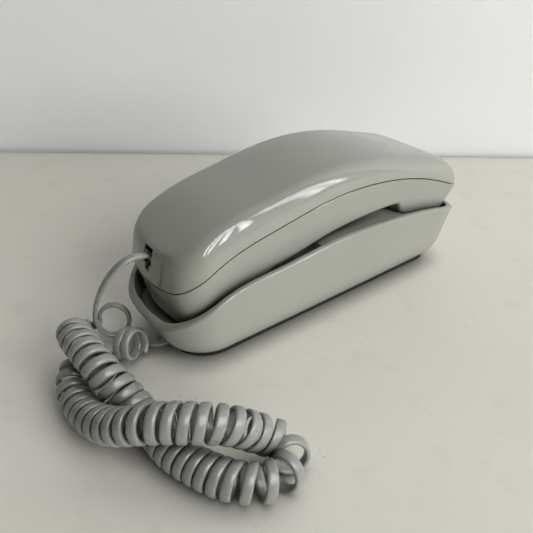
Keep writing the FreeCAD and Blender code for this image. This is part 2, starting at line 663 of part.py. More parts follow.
def capsules():
    ry, rr, my, mr = size("receiver_y"), size("receiver_radius"), size("mouth_y"), size("mouth_radius")
    low = size("cup_bottom") + size("shell_wall")
    outer, bore = rod("gasket_outer", 10.8, 1.0, (0, ry, low)), rod("gasket_bore", 8.6, 2, (0, ry, low - 0.5))
    node(cut("gasket_ring", outer, bore), "receiver_gasket")
    narrow, wide = rr - 1.0, rr - 0.4
    can = path(
        (0, 0), (narrow, 0), (narrow, 6.0), (wide, 6.0), (wide, 9.0), (rr - 4, 11.0), (0, 11.0), (0, 0)
    )
    node(turned("ear_can", can, (0, ry, low + 1.0)), "receiver_capsule")
    holder_in, holder_out = mr + 0.1, mr + 1.2
    cup = path(
        (0, 10.4), (holder_out, 10.4), (holder_out, 2.4), (holder_in, 2.4), (holder_in, 9.2), (0, 9.2),
        (0, 10.4),
    )
    node(turned("mouth_holder", cup, (0, my, low)), "transmitter_holder")
    disc = path((0, 0), (mr - 3, 0), (mr - 3, 2.0), (mr, 2.0), (mr, 7.0), (mr - 5, 9.2), (0, 9.2), (0, 0))
    node(turned("mouth_can", disc, (0, my, low)), "transmitter_capsule")
    screws = []
    for i, (x, y) in enumerate(HAND_SCREWS):
        seat = screw_seat(y)
        head = rod(f"hand_screw_head_{i}", "head_radius", 1.4, (x, y, seat - 1.4))
        shank = rod(f"hand_screw_shank_{i}", "screw_radius", 70.0 - seat, (x, y, seat))
        screws.append(fuse(f"hand_screw_{i}", head, shank))
    node(compound("hand_screw_set", *screws), "handset_screws")


def jacks():
    node(jack_block("hand_jack", 0, -91.0, -76, 52.4, 67.0, (55.6, 65.6), -1), "handset_jack")
    node(plug("hand_plug", 0, -98.2, -80.0, 57.6, 64.2), "handset_plug")
    jack = jack_block("cord_jack", CORD_JACK_X, -91.0, -77, size("foot_height"), 11.8, (4.2, 10.4), -1)
    node(jack, "base_cord_jack")
    node(plug("cord_plug", CORD_JACK_X, -97.2, -80.0, 4.4, 10.2), "base_plug")
    node(jack_block("wall_jack", 0, 75, 90.2, PLATE_TOP, 15.4, (7.4, 14.2), 1), "line_jack")


# ---- cord -----------------------------------------------------------------------------------------------

# Routes as points in order from the handset to the base. The leads are limp flat cord; the coil's own axis
# goes over its lower strand once, turns back at the far right and ends under its upper strand.
UPPER_LEAD = [
    (0.0, -101.6, 62.5), (0.4, -106.4, 63.9), (0.5, -111.2, 63.2), (-0.7, -115.8, 60.4), (-3.2, -119.8, 55.6),
    (-6.8, -123.5, 48.6), (-10.6, -126.8, 39.6), (-14.6, -128.8, 29.6), (-18.6, -128.0, 20.6),
    (-21.0, -123.6, 12.8),
]
BRIDGE = [
    (-29.0, -118.5, 8.0), (-32.4, -125.4, 6.4), (-31.4, -133.0, 8.2), (-25.8, -139.0, 13.6),
    (-18.0, -143.4, 20.6), (-10.0, -147.4, 27.4),
]
COIL = [
    (-9.6, -148.2, 28.4), (0.0, -148.4, 30.0), (13.0, -146.0, 30.0), (27.0, -143.4, 28.2),
    (38.5, -139.8, 22.6), (50.5, -135.4, 12.6), (64.0, -133.6, 9.7), (80.0, -133.0, 9.6),
    (94.0, -128.4, 9.7), (107.0, -122.0, 9.6), (117.0, -114.0, 9.7), (121.4, -104.5, 9.6),
]
COIL_BACK = [
    (101.0, -104.5, 18.6), (99.0, -109.6, 25.0), (95.4, -116.6, 29.4), (90.4, -124.4, 31.2),
    (83.0, -133.6, 31.2), (75.0, -142.6, 28.8), (64.0, -151.2, 21.4), (50.8, -156.6, 14.8),
    (36.4, -159.4, 10.8), (23.4, -160.0, 9.6), (12.0, -158.4, 9.7), (3.6, -152.6, 9.6),
]
LOWER_LEAD = [
    (4.4, -151.4, 4.6), (-2.2, -146.0, 3.2), (-7.4, -138.4, 2.7), (-8.0, -129.4, 3.0), (-3.6, -121.0, 5.0),
]
TAIL = [(-2.2, -109.8, 3.6), (0.6, -105.4, 3.0), (3.4, -101.6, 4.6), (5.4, -98.8, 6.4), (6.0, -96.4, 7.3)]
UPPER_DRUM = {"middle": (-24.2, -116.8, 11.6), "axis": (-0.86, 0.43, -0.28), "radius": 10.2, "length": 9.0}
SLACK_DRUM = {"middle": (1.0, -117.6, 11.0), "axis": (0.81, 0.55, 0.2), "radius": 9.6, "length": 12.0}


def route_wire(points, label):
    """Straight runs joined by tangent arcs, each as large as its two runs allow."""
    spots = [Vector(*p) for p in points]
    edges, here, radii = [], spots[0], []
    for before, corner_at, after in zip(spots, spots[1:], spots[2:]):
        back, on = before - corner_at, after - corner_at
        reach = 0.45 * min(back.Length, on.Length)
        turn = math.pi - back.getAngle(on)
        first = corner_at + Vector(back).normalize() * reach
        last = corner_at + Vector(on).normalize() * reach
        radius = reach / math.tan(turn / 2)
        toward = (Vector(back).normalize() + Vector(on).normalize()).normalize()
        middle = corner_at + toward * (radius / math.cos(turn / 2) - radius)
        edges += [Part.LineSegment(here, first).toShape(), Part.Arc(first, middle, last).toShape()]
        here = last
        radii.append(round(radius, 1))
    edges.append(Part.LineSegment(here, spots[-1]).toShape())
    print(label, "arc radii", radii)
    return Part.Wire(edges)


def tube(name, points, width):
    """A round tube along a route."""
    wire = route_wire(points, name)
    start, heading = Vector(*points[0]), Vector(*points[1]) - Vector(*points[0])
    ring_edge = Part.Wire(Part.makeCircle(width / 2, start, heading))
    obj = doc.addObject("Part::Feature", name)
    obj.Shape = wire.makePipeShell([ring_edge], True, False)
    expected = math.pi * width ** 2 / 4 * wire.Length
    assert abs(obj.Shape.Volume - expected) < 0.02 * expected, f"{name}: {obj.Shape.Volume} for {expected}"
    return obj


def loose_turns(name, middle, axis, radius, length):
    """The outer shape of a few slack turns: a drum round their axis."""
    way = Vector(*axis).normalize()
    start = Vector(*middle) - way * (length / 2)
    return rod(name, radius, length, tuple(start), tuple(way))


def turn_around(name, start, end):
    """Half a ring that joins the coil's two strands where it doubles back; both ends face the same way."""
    first, last = Vector(*start), Vector(*end)
    middle, across = (first + last) / 2, first - last
    ring_axis = across.cross(Vector(0, 1, 0))
    obj = doc.addObject("Part::Torus", name)
    bind(obj, Radius1=across.Length / 2, Radius2="coil_outer / 2", Angle3=180)
    obj.Placement = Placement(middle, Rotation(across, Vector(0, 1, 0), ring_axis, "ZXY"))
    return obj


def cords():
    wide, outer = size("cord_wide"), size("coil_outer")
    split = size("cord_split")
    inner = rod("stub_round", wide / 2, 12, (0, -97.4, 61.1), (0, -0.94, 0.34))
    stub_zone = block("stub_zone", -10, 10, split + 0.1, -98.2, 50, 80)
    node(common("stub_cut", inner, stub_zone), "handset_cord_end")
    lead_zone = block("lead_zone", -10, 10, split - 0.1, -90, 50, 80)
    node(cut("upper_lead", tube("upper_tube", UPPER_LEAD, wide), lead_zone), "cord_upper_lead")
    node(loose_turns("turn_upper", **UPPER_DRUM), "cord_loose_turn")
    bridge = cut("bridge_trimmed", tube("bridge", BRIDGE, wide), loose_turns("turn_upper_copy", **UPPER_DRUM))
    node(bridge, "cord_bridge")
    back = tube("coil_upper_strand", COIL_BACK, outer)
    strand, turn = tube("coil_lower_strand", COIL, outer), turn_around("coil_turn", COIL[-1], COIL_BACK[0])
    outward = fuse("coil_outward", strand, turn)
    node(cut("coil_outward_trimmed", outward, back), "cord_coil_outward")
    node(back, "cord_coil_return")
    node(tube("lower_tube", LOWER_LEAD, wide), "cord_lower_lead")
    node(loose_turns("turn_lower", **SLACK_DRUM), "cord_slack_turns")
    tail_end = block("tail_zone", 0, 12, -97.25, -90, 4, 18)
    drum_copy = loose_turns("turn_lower_copy", **SLACK_DRUM)
    node(cut("tail_trimmed", tube("tail_tube", TAIL, wide), drum_copy, tail_end), "cord_tail")


base_housing()
base_plate()
base_small_parts()
network()
hook_parts()
ringer()
handset_shells()
keypad()
capsules()
jacks()
cords()

doc.recompute()
for obj in doc.Objects:
    bad = [word for word in obj.State if word in ("Invalid", "Error")]
    assert not bad, f"{obj.Name}: {bad}"
for obj in NODES:
    shape = obj.Shape
    assert not shape.isNull() and shape.isValid() and shape.Solids, f"{obj.Label}: bad shape"
assert len({obj.Label for obj in NODES}) == len(NODES) <= 60

os.makedirs("parts", exist_ok=True)
for obj in NODES:
    obj.Shape.exportStep(os.path.join("parts", obj.Label + ".step"))
print(len(NODES), "sub-parts written")
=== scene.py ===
"""A two-piece desk telephone in glossy warm-grey plastic, resting in its base with a long curly cord."""
import json
import math

import bmesh
import bpy
import numpy as np
from mathutils import Matrix, Vector


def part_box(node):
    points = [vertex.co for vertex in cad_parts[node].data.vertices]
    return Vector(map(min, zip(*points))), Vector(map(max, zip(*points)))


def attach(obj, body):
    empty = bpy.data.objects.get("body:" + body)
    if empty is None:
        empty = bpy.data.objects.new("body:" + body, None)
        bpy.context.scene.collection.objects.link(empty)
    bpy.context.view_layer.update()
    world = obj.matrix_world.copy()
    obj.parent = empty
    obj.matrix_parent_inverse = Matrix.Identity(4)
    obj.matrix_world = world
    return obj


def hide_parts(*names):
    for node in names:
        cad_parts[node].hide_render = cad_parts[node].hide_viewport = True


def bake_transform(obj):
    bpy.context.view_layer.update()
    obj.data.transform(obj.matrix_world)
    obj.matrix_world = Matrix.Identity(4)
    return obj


MM = 0.001
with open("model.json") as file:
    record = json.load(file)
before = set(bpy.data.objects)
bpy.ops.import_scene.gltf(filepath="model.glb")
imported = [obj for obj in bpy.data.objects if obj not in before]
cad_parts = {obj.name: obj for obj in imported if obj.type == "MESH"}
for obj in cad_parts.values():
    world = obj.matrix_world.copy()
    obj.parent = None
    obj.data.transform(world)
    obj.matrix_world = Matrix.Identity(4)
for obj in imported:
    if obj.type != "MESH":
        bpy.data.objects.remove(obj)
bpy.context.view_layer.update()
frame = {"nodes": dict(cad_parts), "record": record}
NODES = frame["nodes"]


# ---- camera ---------------------------------------------------------------------------------------------

CAMERA = {
    "azimuth": 56.27, "elevation": 33.17, "roll": -2.71, "distance": 388.85 * MM, "lens": 39.29,
    "target": Vector((-18.48, -11.18, 9.05)) * MM,
}


def place_camera():
    az, el, roll = (math.radians(CAMERA[k]) for k in ("azimuth", "elevation", "roll"))
    back = Vector((math.cos(el) * math.sin(az), -math.cos(el) * math.cos(az), math.sin(el)))
    level = Vector((math.cos(az), math.sin(az), 0.0))
    upright = back.cross(level)
    right = level * math.cos(roll) + upright * math.sin(roll)
    up = upright * math.cos(roll) - level * math.sin(roll)
    data = bpy.data.cameras.new("camera")
    data.sensor_width = 36.0
    data.lens = CAMERA["lens"]
    data.clip_start = 0.01
    obj = bpy.data.objects.new("camera", data)
    bpy.context.scene.collection.objects.link(obj)
    turn = Matrix((right, up, back)).transposed().to_4x4()
    obj.matrix_world = Matrix.Translation(CAMERA["target"] + back * CAMERA["distance"]) @ turn
    bpy.context.scene.camera = obj


# ---- small helpers --------------------------------------------------------------------------------------

def link(obj):
    bpy.context.scene.collection.objects.link(obj)
    return obj


def mesh_object(name, points, faces, material=None, smooth_angle=40.0):
    """A mesh object whose faces are turned outwards, shaded smooth where it bends less than the angle."""
    mesh = bpy.data.meshes.new(name)
    mesh.from_pydata([tuple(p) for p in points], [], faces)
    work = bmesh.new()
    work.from_mesh(mesh)
    bmesh.ops.recalc_face_normals(work, faces=work.faces)
    work.to_mesh(mesh)
    work.free()
    obj = link(bpy.data.objects.new(name, mesh))
    if material:
        mesh.materials.append(material)
    shade(obj, smooth_angle)
    return obj


def shade(obj, angle=40.0):
    obj.data.shade_smooth()
    obj.data.set_sharp_from_angle(angle=math.radians(angle))


def middle(node):
    """The middle of a CAD node, in millimetres."""
    low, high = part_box(node)
    return (low + high) / 2 / MM


def smooth_curve(knots):
    """A natural cubic spline through (place, value) knots, straight beyond the last ones."""
    x = np.array([k[0] for k in knots], float)
    y = np.array([k[1] for k in knots], float)
    n, h = len(x), np.diff(x)
    system, right = np.eye(n), np.zeros(n)
    for i in range(1, n - 1):
        system[i, i - 1:i + 2] = h[i - 1], 2 * (h[i - 1] + h[i]), h[i]
        right[i] = 6 * ((y[i + 1] - y[i]) / h[i] - (y[i] - y[i - 1]) / h[i - 1])
    bend = np.linalg.solve(system, right)

    def value(place):
        place = np.asarray(place, float)
        inside = np.clip(place, x[0], x[-1])
        i = np.clip(np.searchsorted(x, inside) - 1, 0, n - 2)
        a, b, step = x[i + 1] - inside, inside - x[i], h[i]
        level = (bend[i] * a ** 3 + bend[i + 1] * b ** 3) / (6 * step)
        level += (y[i] / step - bend[i] * step / 6) * a + (y[i + 1] / step - bend[i + 1] * step / 6) * b
        first = (y[1] - y[0]) / h[0] - h[0] * bend[1] / 6
        last = (y[-1] - y[-2]) / h[-1] + h[-1] * bend[-2] / 6
        return level + np.minimum(place - x[0], 0) * first + np.maximum(place - x[-1], 0) * last

    return value


def ramp(value, start, end):
    """0 before start, 1 after end, with a smooth S between."""
    t = np.clip((np.asarray(value, float) - start) / (end - start), 0, 1)
    return t * t * (3 - 2 * t)


# ---- outlines and shells --------------------------------------------------------------------------------

BOW_STEPS, CORNER_STEPS = 12, 14
SIDE_ROWS = np.unique(np.concatenate([
    np.linspace(0.0, 0.20, 14), np.linspace(0.20, 0.30, 18), np.linspace(0.30, 0.72, 36),
    np.linspace(0.72, 0.90, 30), np.linspace(0.90, 1.0, 8),
]).round(4))


def end_arcs(half, radius, bow):
    """(x, distance from the end) along a bowed end and its round corner, from the middle out."""
    big = (half * half + bow * bow) / (2 * bow)
    depth = big - math.sqrt((big - radius) ** 2 - (half - radius) ** 2)
    turn = math.atan2(depth - big, half - radius)
    a = np.linspace(-math.pi / 2, turn, BOW_STEPS)
    c = np.linspace(turn, 0, CORNER_STEPS)[1:]
    bowed = np.stack([big * np.cos(a), big + big * np.sin(a)], axis=1)
    round_part = np.stack([half - radius + radius * np.cos(c), depth + radius * np.sin(c)], axis=1)
    return np.concatenate([bowed, round_part])


def outline(half, front, rear, front_end, rear_end, swell=0.0):
    """The right half of a long outline seen from above, from the front's middle to the rear's middle.

    An end is (corner radius, bow). swell is how far the sides bulge in their middle.
    """
    first = end_arcs(half, *front_end)
    last = end_arcs(half, *rear_end)[::-1]
    first[:, 1] = front + first[:, 1]
    last[:, 1] = rear - last[:, 1]
    rows = SIDE_ROWS[1:-1, None]
    side = first[-1] * (1 - rows) + last[0] * rows
    line = np.concatenate([first, side, last])
    middle, reach = (front + rear) / 2, (rear - front) / 2
    line[:, 0] *= 1 + swell / half * (1 - ((line[:, 1] - middle) / reach) ** 2)
    line[0, 0] = line[-1, 0] = 0.0
    return line


def at_height(line, height):
    """An outline lifted to a height, or to a height of its own at each point."""
    return np.column_stack([line, np.broadcast_to(height, len(line))])


def shell_mesh(name, rings, first_cap, last_cap, material, across=18):
    """A closed shell from rings in order; each ring is a right half, mirrored to the left.

    The first and last rings are closed with a surface whose height is cap(x, y, edge height).
    """
    count = len(rings[0])
    points, faces = [], []
    loops = []
    for ring in rings:
        start = len(points)
        points.extend(ring)
        mirror = [start]
        for i in range(1, count - 1):
            mirror.append(len(points))
            points.append((-ring[i][0], ring[i][1], ring[i][2]))
        mirror.append(start + count - 1)
        loops.append((list(range(start, start + count)), mirror))
    for (right_a, left_a), (right_b, left_b) in zip(loops, loops[1:]):
        for a, b in ((right_a, right_b), (left_a, left_b)):
            faces += [(a[i], a[i + 1], b[i + 1], b[i]) for i in range(count - 1)]
    for (right, left), ring, cap in ((loops[0], rings[0], first_cap), (loops[-1], rings[-1], last_cap)):
        rows = [[right[0]] * (across + 1)]
        for i in range(1, count - 1):
            x, y, z = ring[i]
            row = [right[i]]
            for j in range(1, across):
                here = x * (1 - 2 * j / across)
                row.append(len(points))
                points.append((here, y, cap(here, y, z, x)))
            rows.append(row + [left[i]])
        rows.append([right[-1]] * (across + 1))
        for a, b in zip(rows, rows[1:]):
            for j in range(across):
                face = [a[j], a[j + 1], b[j + 1], b[j]]
                faces.append(tuple(dict.fromkeys(face)))
    return mesh_object(name, np.array(points, float) * MM, faces, material)


def cutter(name, size, place, radius=0.0, axis="Z"):
    """A hidden block, used to cut an opening; its edges along the axis are rounded."""
    wide, deep, tall = size
    work = bmesh.new()
    bmesh.ops.create_cube(work, size=1.0)
    bmesh.ops.scale(work, vec=(wide * MM, deep * MM, tall * MM), verts=work.verts)
    if radius:
        along = "XYZ".index(axis)
        picked = [e for e in work.edges if abs((e.verts[0].co - e.verts[1].co).normalized()[along]) > 0.9]
        bmesh.ops.bevel(work, geom=picked, offset=radius * MM, segments=5, profile=0.5, affect="EDGES")
    bmesh.ops.translate(work, vec=Vector(place) * MM, verts=work.verts)
    mesh = bpy.data.meshes.new(name)
    work.to_mesh(mesh)
    work.free()
    return link(bpy.data.objects.new(name, mesh))


def round_cutter(name, radius, length, place):
    work = bmesh.new()
    bmesh.ops.create_cone(
        work, cap_ends=True, segments=40, radius1=radius * MM, radius2=radius * MM, depth=length * MM,
        matrix=Matrix.Translation(Vector(place) * MM),
    )
    mesh = bpy.data.meshes.new(name)
    work.to_mesh(mesh)
    work.free()
    return link(bpy.data.objects.new(name, mesh))


def carve(obj, tools):
    """Cuts the tools out of obj and throws them away."""
    for tool in tools:
        change = obj.modifiers.new(tool.name, "BOOLEAN")
        change.operation = "DIFFERENCE"
        change.solver = "EXACT"
        change.object = tool
    depsgraph = bpy.context.evaluated_depsgraph_get()
    mesh = bpy.data.meshes.new_from_object(obj.evaluated_get(depsgraph))
    obj.modifiers.clear()
    old, obj.data = obj.data, mesh
    bpy.data.meshes.remove(old)
    for tool in tools:
        bpy.data.objects.remove(tool)
    shade(obj)
    return obj


# ---- base housing ---------------------------------------------------------------------------------------

FOOT_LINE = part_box("base_housing")[0].z / MM
RIM_LINE = smooth_curve([
    (-108, 27.6), (-75, 45.0), (-40, 49.4), (0, 52.4), (40, 50.7), (75, 46.2), (108, 38.3),
])
LIP, WALL, FLOOR_THICK, RIM_EDGE, FLOOR_FILLET = 4.0, 2.4, 2.2, 1.3, 1.5
CRADLE_LOW, SADDLE_DROP, SADDLE_CLEAR = 22.0, 0.8, 0.6
SADDLE_SLOPE, SADDLE_STEP, STEP_SHARE = (-46.0, -12.0), (-11.6, -9.6), 0.2
SADDLE_REAR, REAR_BULGE, REAR_SLOPE = 53.0, 7.5, 6.0

# half width, front, rear, (front corner's radius, front bow), (rear corner's radius, rear bow)
BOTTOM_PLAN = (28.7, -94.9, 94.4, (22.2, 5.2), (8.9, 2.65))
KNEE_PLAN = (35.7, -101.4, 98.6, (23.5, 5.3), (10.0, 2.8))
RIM_PLAN = (40.75, -108.0, 107.6, (28.65, 5.55), (13.4, 3.7))
KNEE_HEIGHT, KNEE_REACH, KNEE_SHARE, TUB_SWELL = 9.8, 0.34, 0.4, 0.3


def cradle_floor(y, across=1.0):
    """The height of the cradle: an arched saddle level with the rim, with a pit for each cup.

    In front the saddle slopes away below a small step. Behind, it ends at a curve; across is 0 in the
    middle and 1 at the side. It keeps clear of the handset's underside.
    """
    saddle = RIM_LINE(y) - SADDLE_DROP
    rear = SADDLE_REAR + REAR_BULGE * across ** 5
    front = (1 - STEP_SHARE) * ramp(y, *SADDLE_SLOPE) + STEP_SHARE * ramp(y, *SADDLE_STEP)
    height = CRADLE_LOW + (saddle - CRADLE_LOW) * (front - ramp(y, rear, rear + REAR_SLOPE))
    return np.maximum(np.minimum(height, under_height(y, across) - SADDLE_CLEAR), CRADLE_LOW)


def tub_plan(plan, inset):
    half, front, rear, (front_r, front_bow), (rear_r, rear_bow) = plan
    ends = (front_r - inset, front_bow), (max(rear_r - inset, 2.0), rear_bow)
    return outline(half - inset, front + inset, rear - inset, *ends, TUB_SWELL)


def tub_wall(share, inset=0.0):
    """One level of the tub's wall: share 0 is the bottom edge and 1 the rim."""
    bottom = at_height(tub_plan(BOTTOM_PLAN, inset), FOOT_LINE)
    knee = at_height(tub_plan(KNEE_PLAN, inset), KNEE_HEIGHT)
    top = tub_plan(RIM_PLAN, inset)
    rim = at_height(top, RIM_LINE(top[:, 1]))
    above = knee + (rim - knee) * KNEE_REACH
    if share < KNEE_SHARE:
        t = share / KNEE_SHARE
        return bottom * (1 - t) ** 2 + knee * 2 * t * (1 - t) + above * t * t
    return above + (rim - above) * (share - KNEE_SHARE) / (1 - KNEE_SHARE)


def tub_at(height, inset):
    """The ring of the tub's wall that lies at a height of its own at each point."""
    levels = np.linspace(0, 1, 60)
    stack = np.array([tub_wall(s, inset) for s in levels])
    ring = np.empty_like(stack[0])
    for i in range(len(ring)):
        z = stack[:, i, 2]
        for axis in range(3):
            ring[i, axis] = np.interp(height[i], z, stack[:, i, axis])
    return ring


def tub_inner_rings():
    """The inside of the wall under the cradle, from the ceiling down to the bottom edge."""
    under = tub_wall(1.0, WALL)
    ceiling = cradle_floor(under[:, 1]) - FLOOR_THICK
    low = np.full(len(under), FOOT_LINE)
    return [tub_at(low + (ceiling - low) * share, WALL) for share in np.linspace(1.0, 0.0, 8)]


def tub_outer_rings():
    """The outside of the wall, up to the rim's rounded outer edge."""
    rings = [tub_wall(s) for s in np.concatenate([[0.0, 0.012], np.linspace(0.04, KNEE_SHARE, 12)])]
    rings += [tub_wall(s) for s in np.linspace(KNEE_SHARE, 1.0, 9)[1:-1]]
    for angle in np.linspace(0, math.pi / 2, 7):
        ring = tub_wall(1.0, RIM_EDGE * (1 - math.cos(angle)))
        ring[:, 2] += RIM_EDGE * (math.sin(angle) - 1)
        rings.append(ring)
    return rings


def cradle_rings():
    """The rim's inner edge, the wall of the cradle and the fillet at its floor."""
    lip = tub_wall(1.0, LIP)
    floor = cradle_floor(lip[:, 1])
    depth = lip[:, 2] - floor
    soft = np.minimum(RIM_EDGE, 0.45 * depth)
    fillet = np.minimum(FLOOR_FILLET, 0.45 * depth)
    rings = []
    for angle in np.linspace(math.pi / 2, 0, 7):
        ring = tub_wall(1.0, LIP - RIM_EDGE * (1 - math.cos(angle)))
        ring[:, 2] += soft * (math.sin(angle) - 1)
        rings.append(ring)
    for share in (0.2, 0.4, 0.6, 0.8):
        rings.append(tub_at(lip[:, 2] - soft + (floor + fillet - lip[:, 2] + soft) * share, LIP))
    for angle in np.linspace(0, math.pi / 2, 5):
        height = floor + fillet * (1 - math.sin(angle))
        ring = tub_at(height, LIP + FLOOR_FILLET * (1 - math.cos(angle)))
        ring[:, 2] = height
        rings.append(ring)
    return rings


def base_housing(material):
    def floor_cap(x, y, z, edge):
        return z + cradle_floor(y, abs(x) / max(edge, 0.01)) - cradle_floor(y)

    rings = tub_inner_rings() + tub_outer_rings() + cradle_rings()
    shell = shell_mesh("base_shell", rings, floor_cap, floor_cap, material, across=26)
    plunger, plug = middle("hook_plunger"), middle("base_plug")
    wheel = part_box("volume_wheel")
    wheel_wide = (wheel[1].y - wheel[0].y) / MM
    carve(shell, [
        round_cutter("plunger_bore", 3.45, 14, (plunger[0], plunger[1], float(RIM_LINE(plunger[1])))),
        cutter("cord_slot", (8.8, 16, 11.8), (plug[0], -98.0, 4.9), 0.6, "Y"),
        cutter("line_slot", (8.8, 16, 8.4), (0, 97.0, 10.2), 0.6, "Y"),
        cutter("wheel_slot", (16, wheel_wide + 2, 1.2), (-33, -4.0, FOOT_LINE + 0.1)),
    ])
    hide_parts("base_housing")
    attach(shell, "base")


# ---- handset shells -------------------------------------------------------------------------------------

PARTING = smooth_curve([
    (-108, 42.7), (-75, 63.0), (-40, 72.0), (0, 77.8), (40, 75.6), (75, 66.4), (108, 51.6),
])
CROWN = smooth_curve([
    (-108, 59.8), (-75, 78.2), (-40, 86.3), (0, 91.7), (40, 88.8), (75, 79.3), (108, 68.8),
])
HANDLE_UNDER = smooth_curve([
    (-95, 42.0), (-55, 44.2), (-40, 45.6), (-20, 48.8), (0, 52.4), (20, 54.5), (43, 55.3), (61, 53.6),
    (90, 47.0),
])
HAND = {
    "half": 36.5, "front": -101.4, "rear": 108.0, "front_r": 19.0, "front_bow": 7.0, "rear_r": 8.0,
    "rear_bow": 1.2,
}
SHOULDER_IN, REAR_IN, SQUARENESS = 11.9, 15.5, 2.35
FRONT_DRAFT, FRONT_ROUND, FRONT_SQUARENESS = 3.2, 6.4, 6.0
GAP = 0.46
CUP_LOW = 25.0


def hand_plan(side_in=0.0, front_in=0.0, rear_in=0.0):
    corner = min(side_in, front_in) if side_in > 0 else side_in
    return outline(
        HAND["half"] - side_in, HAND["front"] + front_in, HAND["rear"] - rear_in,
        (max(HAND["front_r"] - 1.1 * corner, 3.0), HAND["front_bow"] * (1 - 0.02 * side_in)),
        (max(HAND["rear_r"] - 0.25 * corner, 3.0), HAND["rear_bow"]), 0.62,
    )


def upper_ring(angle, inset):
    """One level of the upper shell's rounded shoulder; angle 0 is the parting line, 90 degrees the crown.

    The front is squarer than the rest: a nearly upright face that turns into the crown at a tight crease.
    """
    inward = 1 - abs(math.cos(angle)) ** (2 / SQUARENESS)
    rise = min(math.sin(angle) ** (2 / SQUARENESS), 1.0)
    bend = 1 - (1 - rise ** FRONT_SQUARENESS) ** (1 / FRONT_SQUARENESS)
    front = FRONT_DRAFT * rise + FRONT_ROUND * bend
    start = hand_plan()
    here = hand_plan(inset + (SHOULDER_IN - inset) * inward, inset + front, inset + REAR_IN * inward)
    low = PARTING(start[:, 1]) + GAP / 2
    return at_height(here, low + (CROWN(here[:, 1]) - inset - low) * rise)


def crown_cap(lift):
    def height(x, y, z, edge):
        ends = ramp(y, -88.0, -50.0) * (1 - ramp(y, 60.0, 92.0))
        return z + lift * ends * (1 - (x / max(edge, 0.01)) ** 2) ** 2
    return height


def handset_top(material):
    angles = np.concatenate([np.linspace(0.0, 0.35, 4), np.linspace(0.35, math.pi / 2, 30)[1:]])
    rings = [upper_ring(a, WALL) for a in angles[::-1]]
    for inset, up in ((0.5, 0.0), (0.15, 0.08)):
        ring = upper_ring(0.0, inset)
        ring[:, 2] += up
        rings.append(ring)
    edge = upper_ring(0.0, 0.0)
    edge[:, 2] += 0.35
    rings.append(edge)
    rings += [upper_ring(a, 0.0) for a in np.concatenate([[0.06, 0.12], angles[1:]])]
    shell = shell_mesh("handset_upper", rings, crown_cap(0.3), crown_cap(0.5), material, across=30)
    plug = middle("handset_plug")
    carve(shell, [
        cutter("jack_mouth", (9.2, 18, 9.6), (plug[0], -97.0, 61.4), 0.5, "Y"),
        cutter("jack_notch", (4.6, 18, 4.4), (plug[0], -97.0, 55.0), 0.4, "Y"),
    ])
    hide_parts("handset_top_shell")
    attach(shell, "handset")


def under_height(y, across=1.0):
    """The underside of the handset: the handle, with a cup at each end.

    The cups' walls are round: they reach further in the middle, where across is 0, than at the side.
    """
    turn = across ** 5
    mouth = 1 - ramp(y, -52.0 - 12.0 * turn, -42.0 + 2.0 * turn)
    ear = ramp(y, 49.0 + 3.0 * turn, 63.0 + 9.0 * turn)
    handle = HANDLE_UNDER(y)
    return handle + (CUP_LOW - handle) * np.clip(mouth + ear, 0, 1)


def under_floor(y, inset, across=1.0):
    """The underside's height, or that of its inner face when inset is the wall's thickness."""
    reach = 1.3 * inset
    return np.maximum(under_height(y - reach, across), under_height(y + reach, across)) + inset


LOWER_EDGE = 2.6
# how far the lower shell's sides, front and rear are drawn in at the draft's full depth, and each mm below it
DRAFT, DRAFT_DEPTH, DEEPER_DRAFT = (4.3, 4.4, 12.8), 22.0, 0.014


def drawn_in(start, down, extra):
    """The lower shell's outline at a depth below the parting line, drawn in by its draft and extra."""
    full, more = hand_plan(*DRAFT), hand_plan(*(way + 1 for way in DRAFT))
    inward = np.minimum(down, DRAFT_DEPTH) / DRAFT_DEPTH + np.maximum(down - DRAFT_DEPTH, 0) * DEEPER_DRAFT
    return start + (full - start) * inward[:, None] + (more - full) * extra


def lower_ring(share, inset, round_angle=None):
    """One level of the lower shell's wall; share 0 is the parting line and 1 the underside's edge."""
    start = hand_plan()
    top = PARTING(start[:, 1]) - GAP / 2
    extra = inset if round_angle is None else inset + LOWER_EDGE * (1 - math.cos(round_angle))
    y = start[:, 1]
    for _ in range(5):
        depth = top - under_floor(y, inset)
        y = drawn_in(start, depth, extra)[:, 1]
    down = (depth - LOWER_EDGE) * share
    if round_angle is not None:
        down = depth - LOWER_EDGE * (1 - math.sin(round_angle))
    line = drawn_in(start, down, extra)
    line[0, 0] = line[-1, 0] = 0.0
    return at_height(line, top - down)


def lower_rings():
    shares, arcs = np.linspace(0, 1, 13), np.linspace(0, math.pi / 2, 7)
    rings = [lower_ring(1.0, WALL, a) for a in arcs[:0:-1]]
    rings += [lower_ring(s, WALL) for s in shares[::-1]]
    for inset, down in ((0.5, 0.0), (0.15, 0.08), (0.0, 0.35)):
        ring = lower_ring(0.0, inset)
        ring[:, 2] -= down
        rings.append(ring)
    rings += [lower_ring(s, 0.0) for s in np.concatenate([[0.04], shares[1:]])]
    rings += [lower_ring(1.0, 0.0, a) for a in arcs[1:]]
    return rings


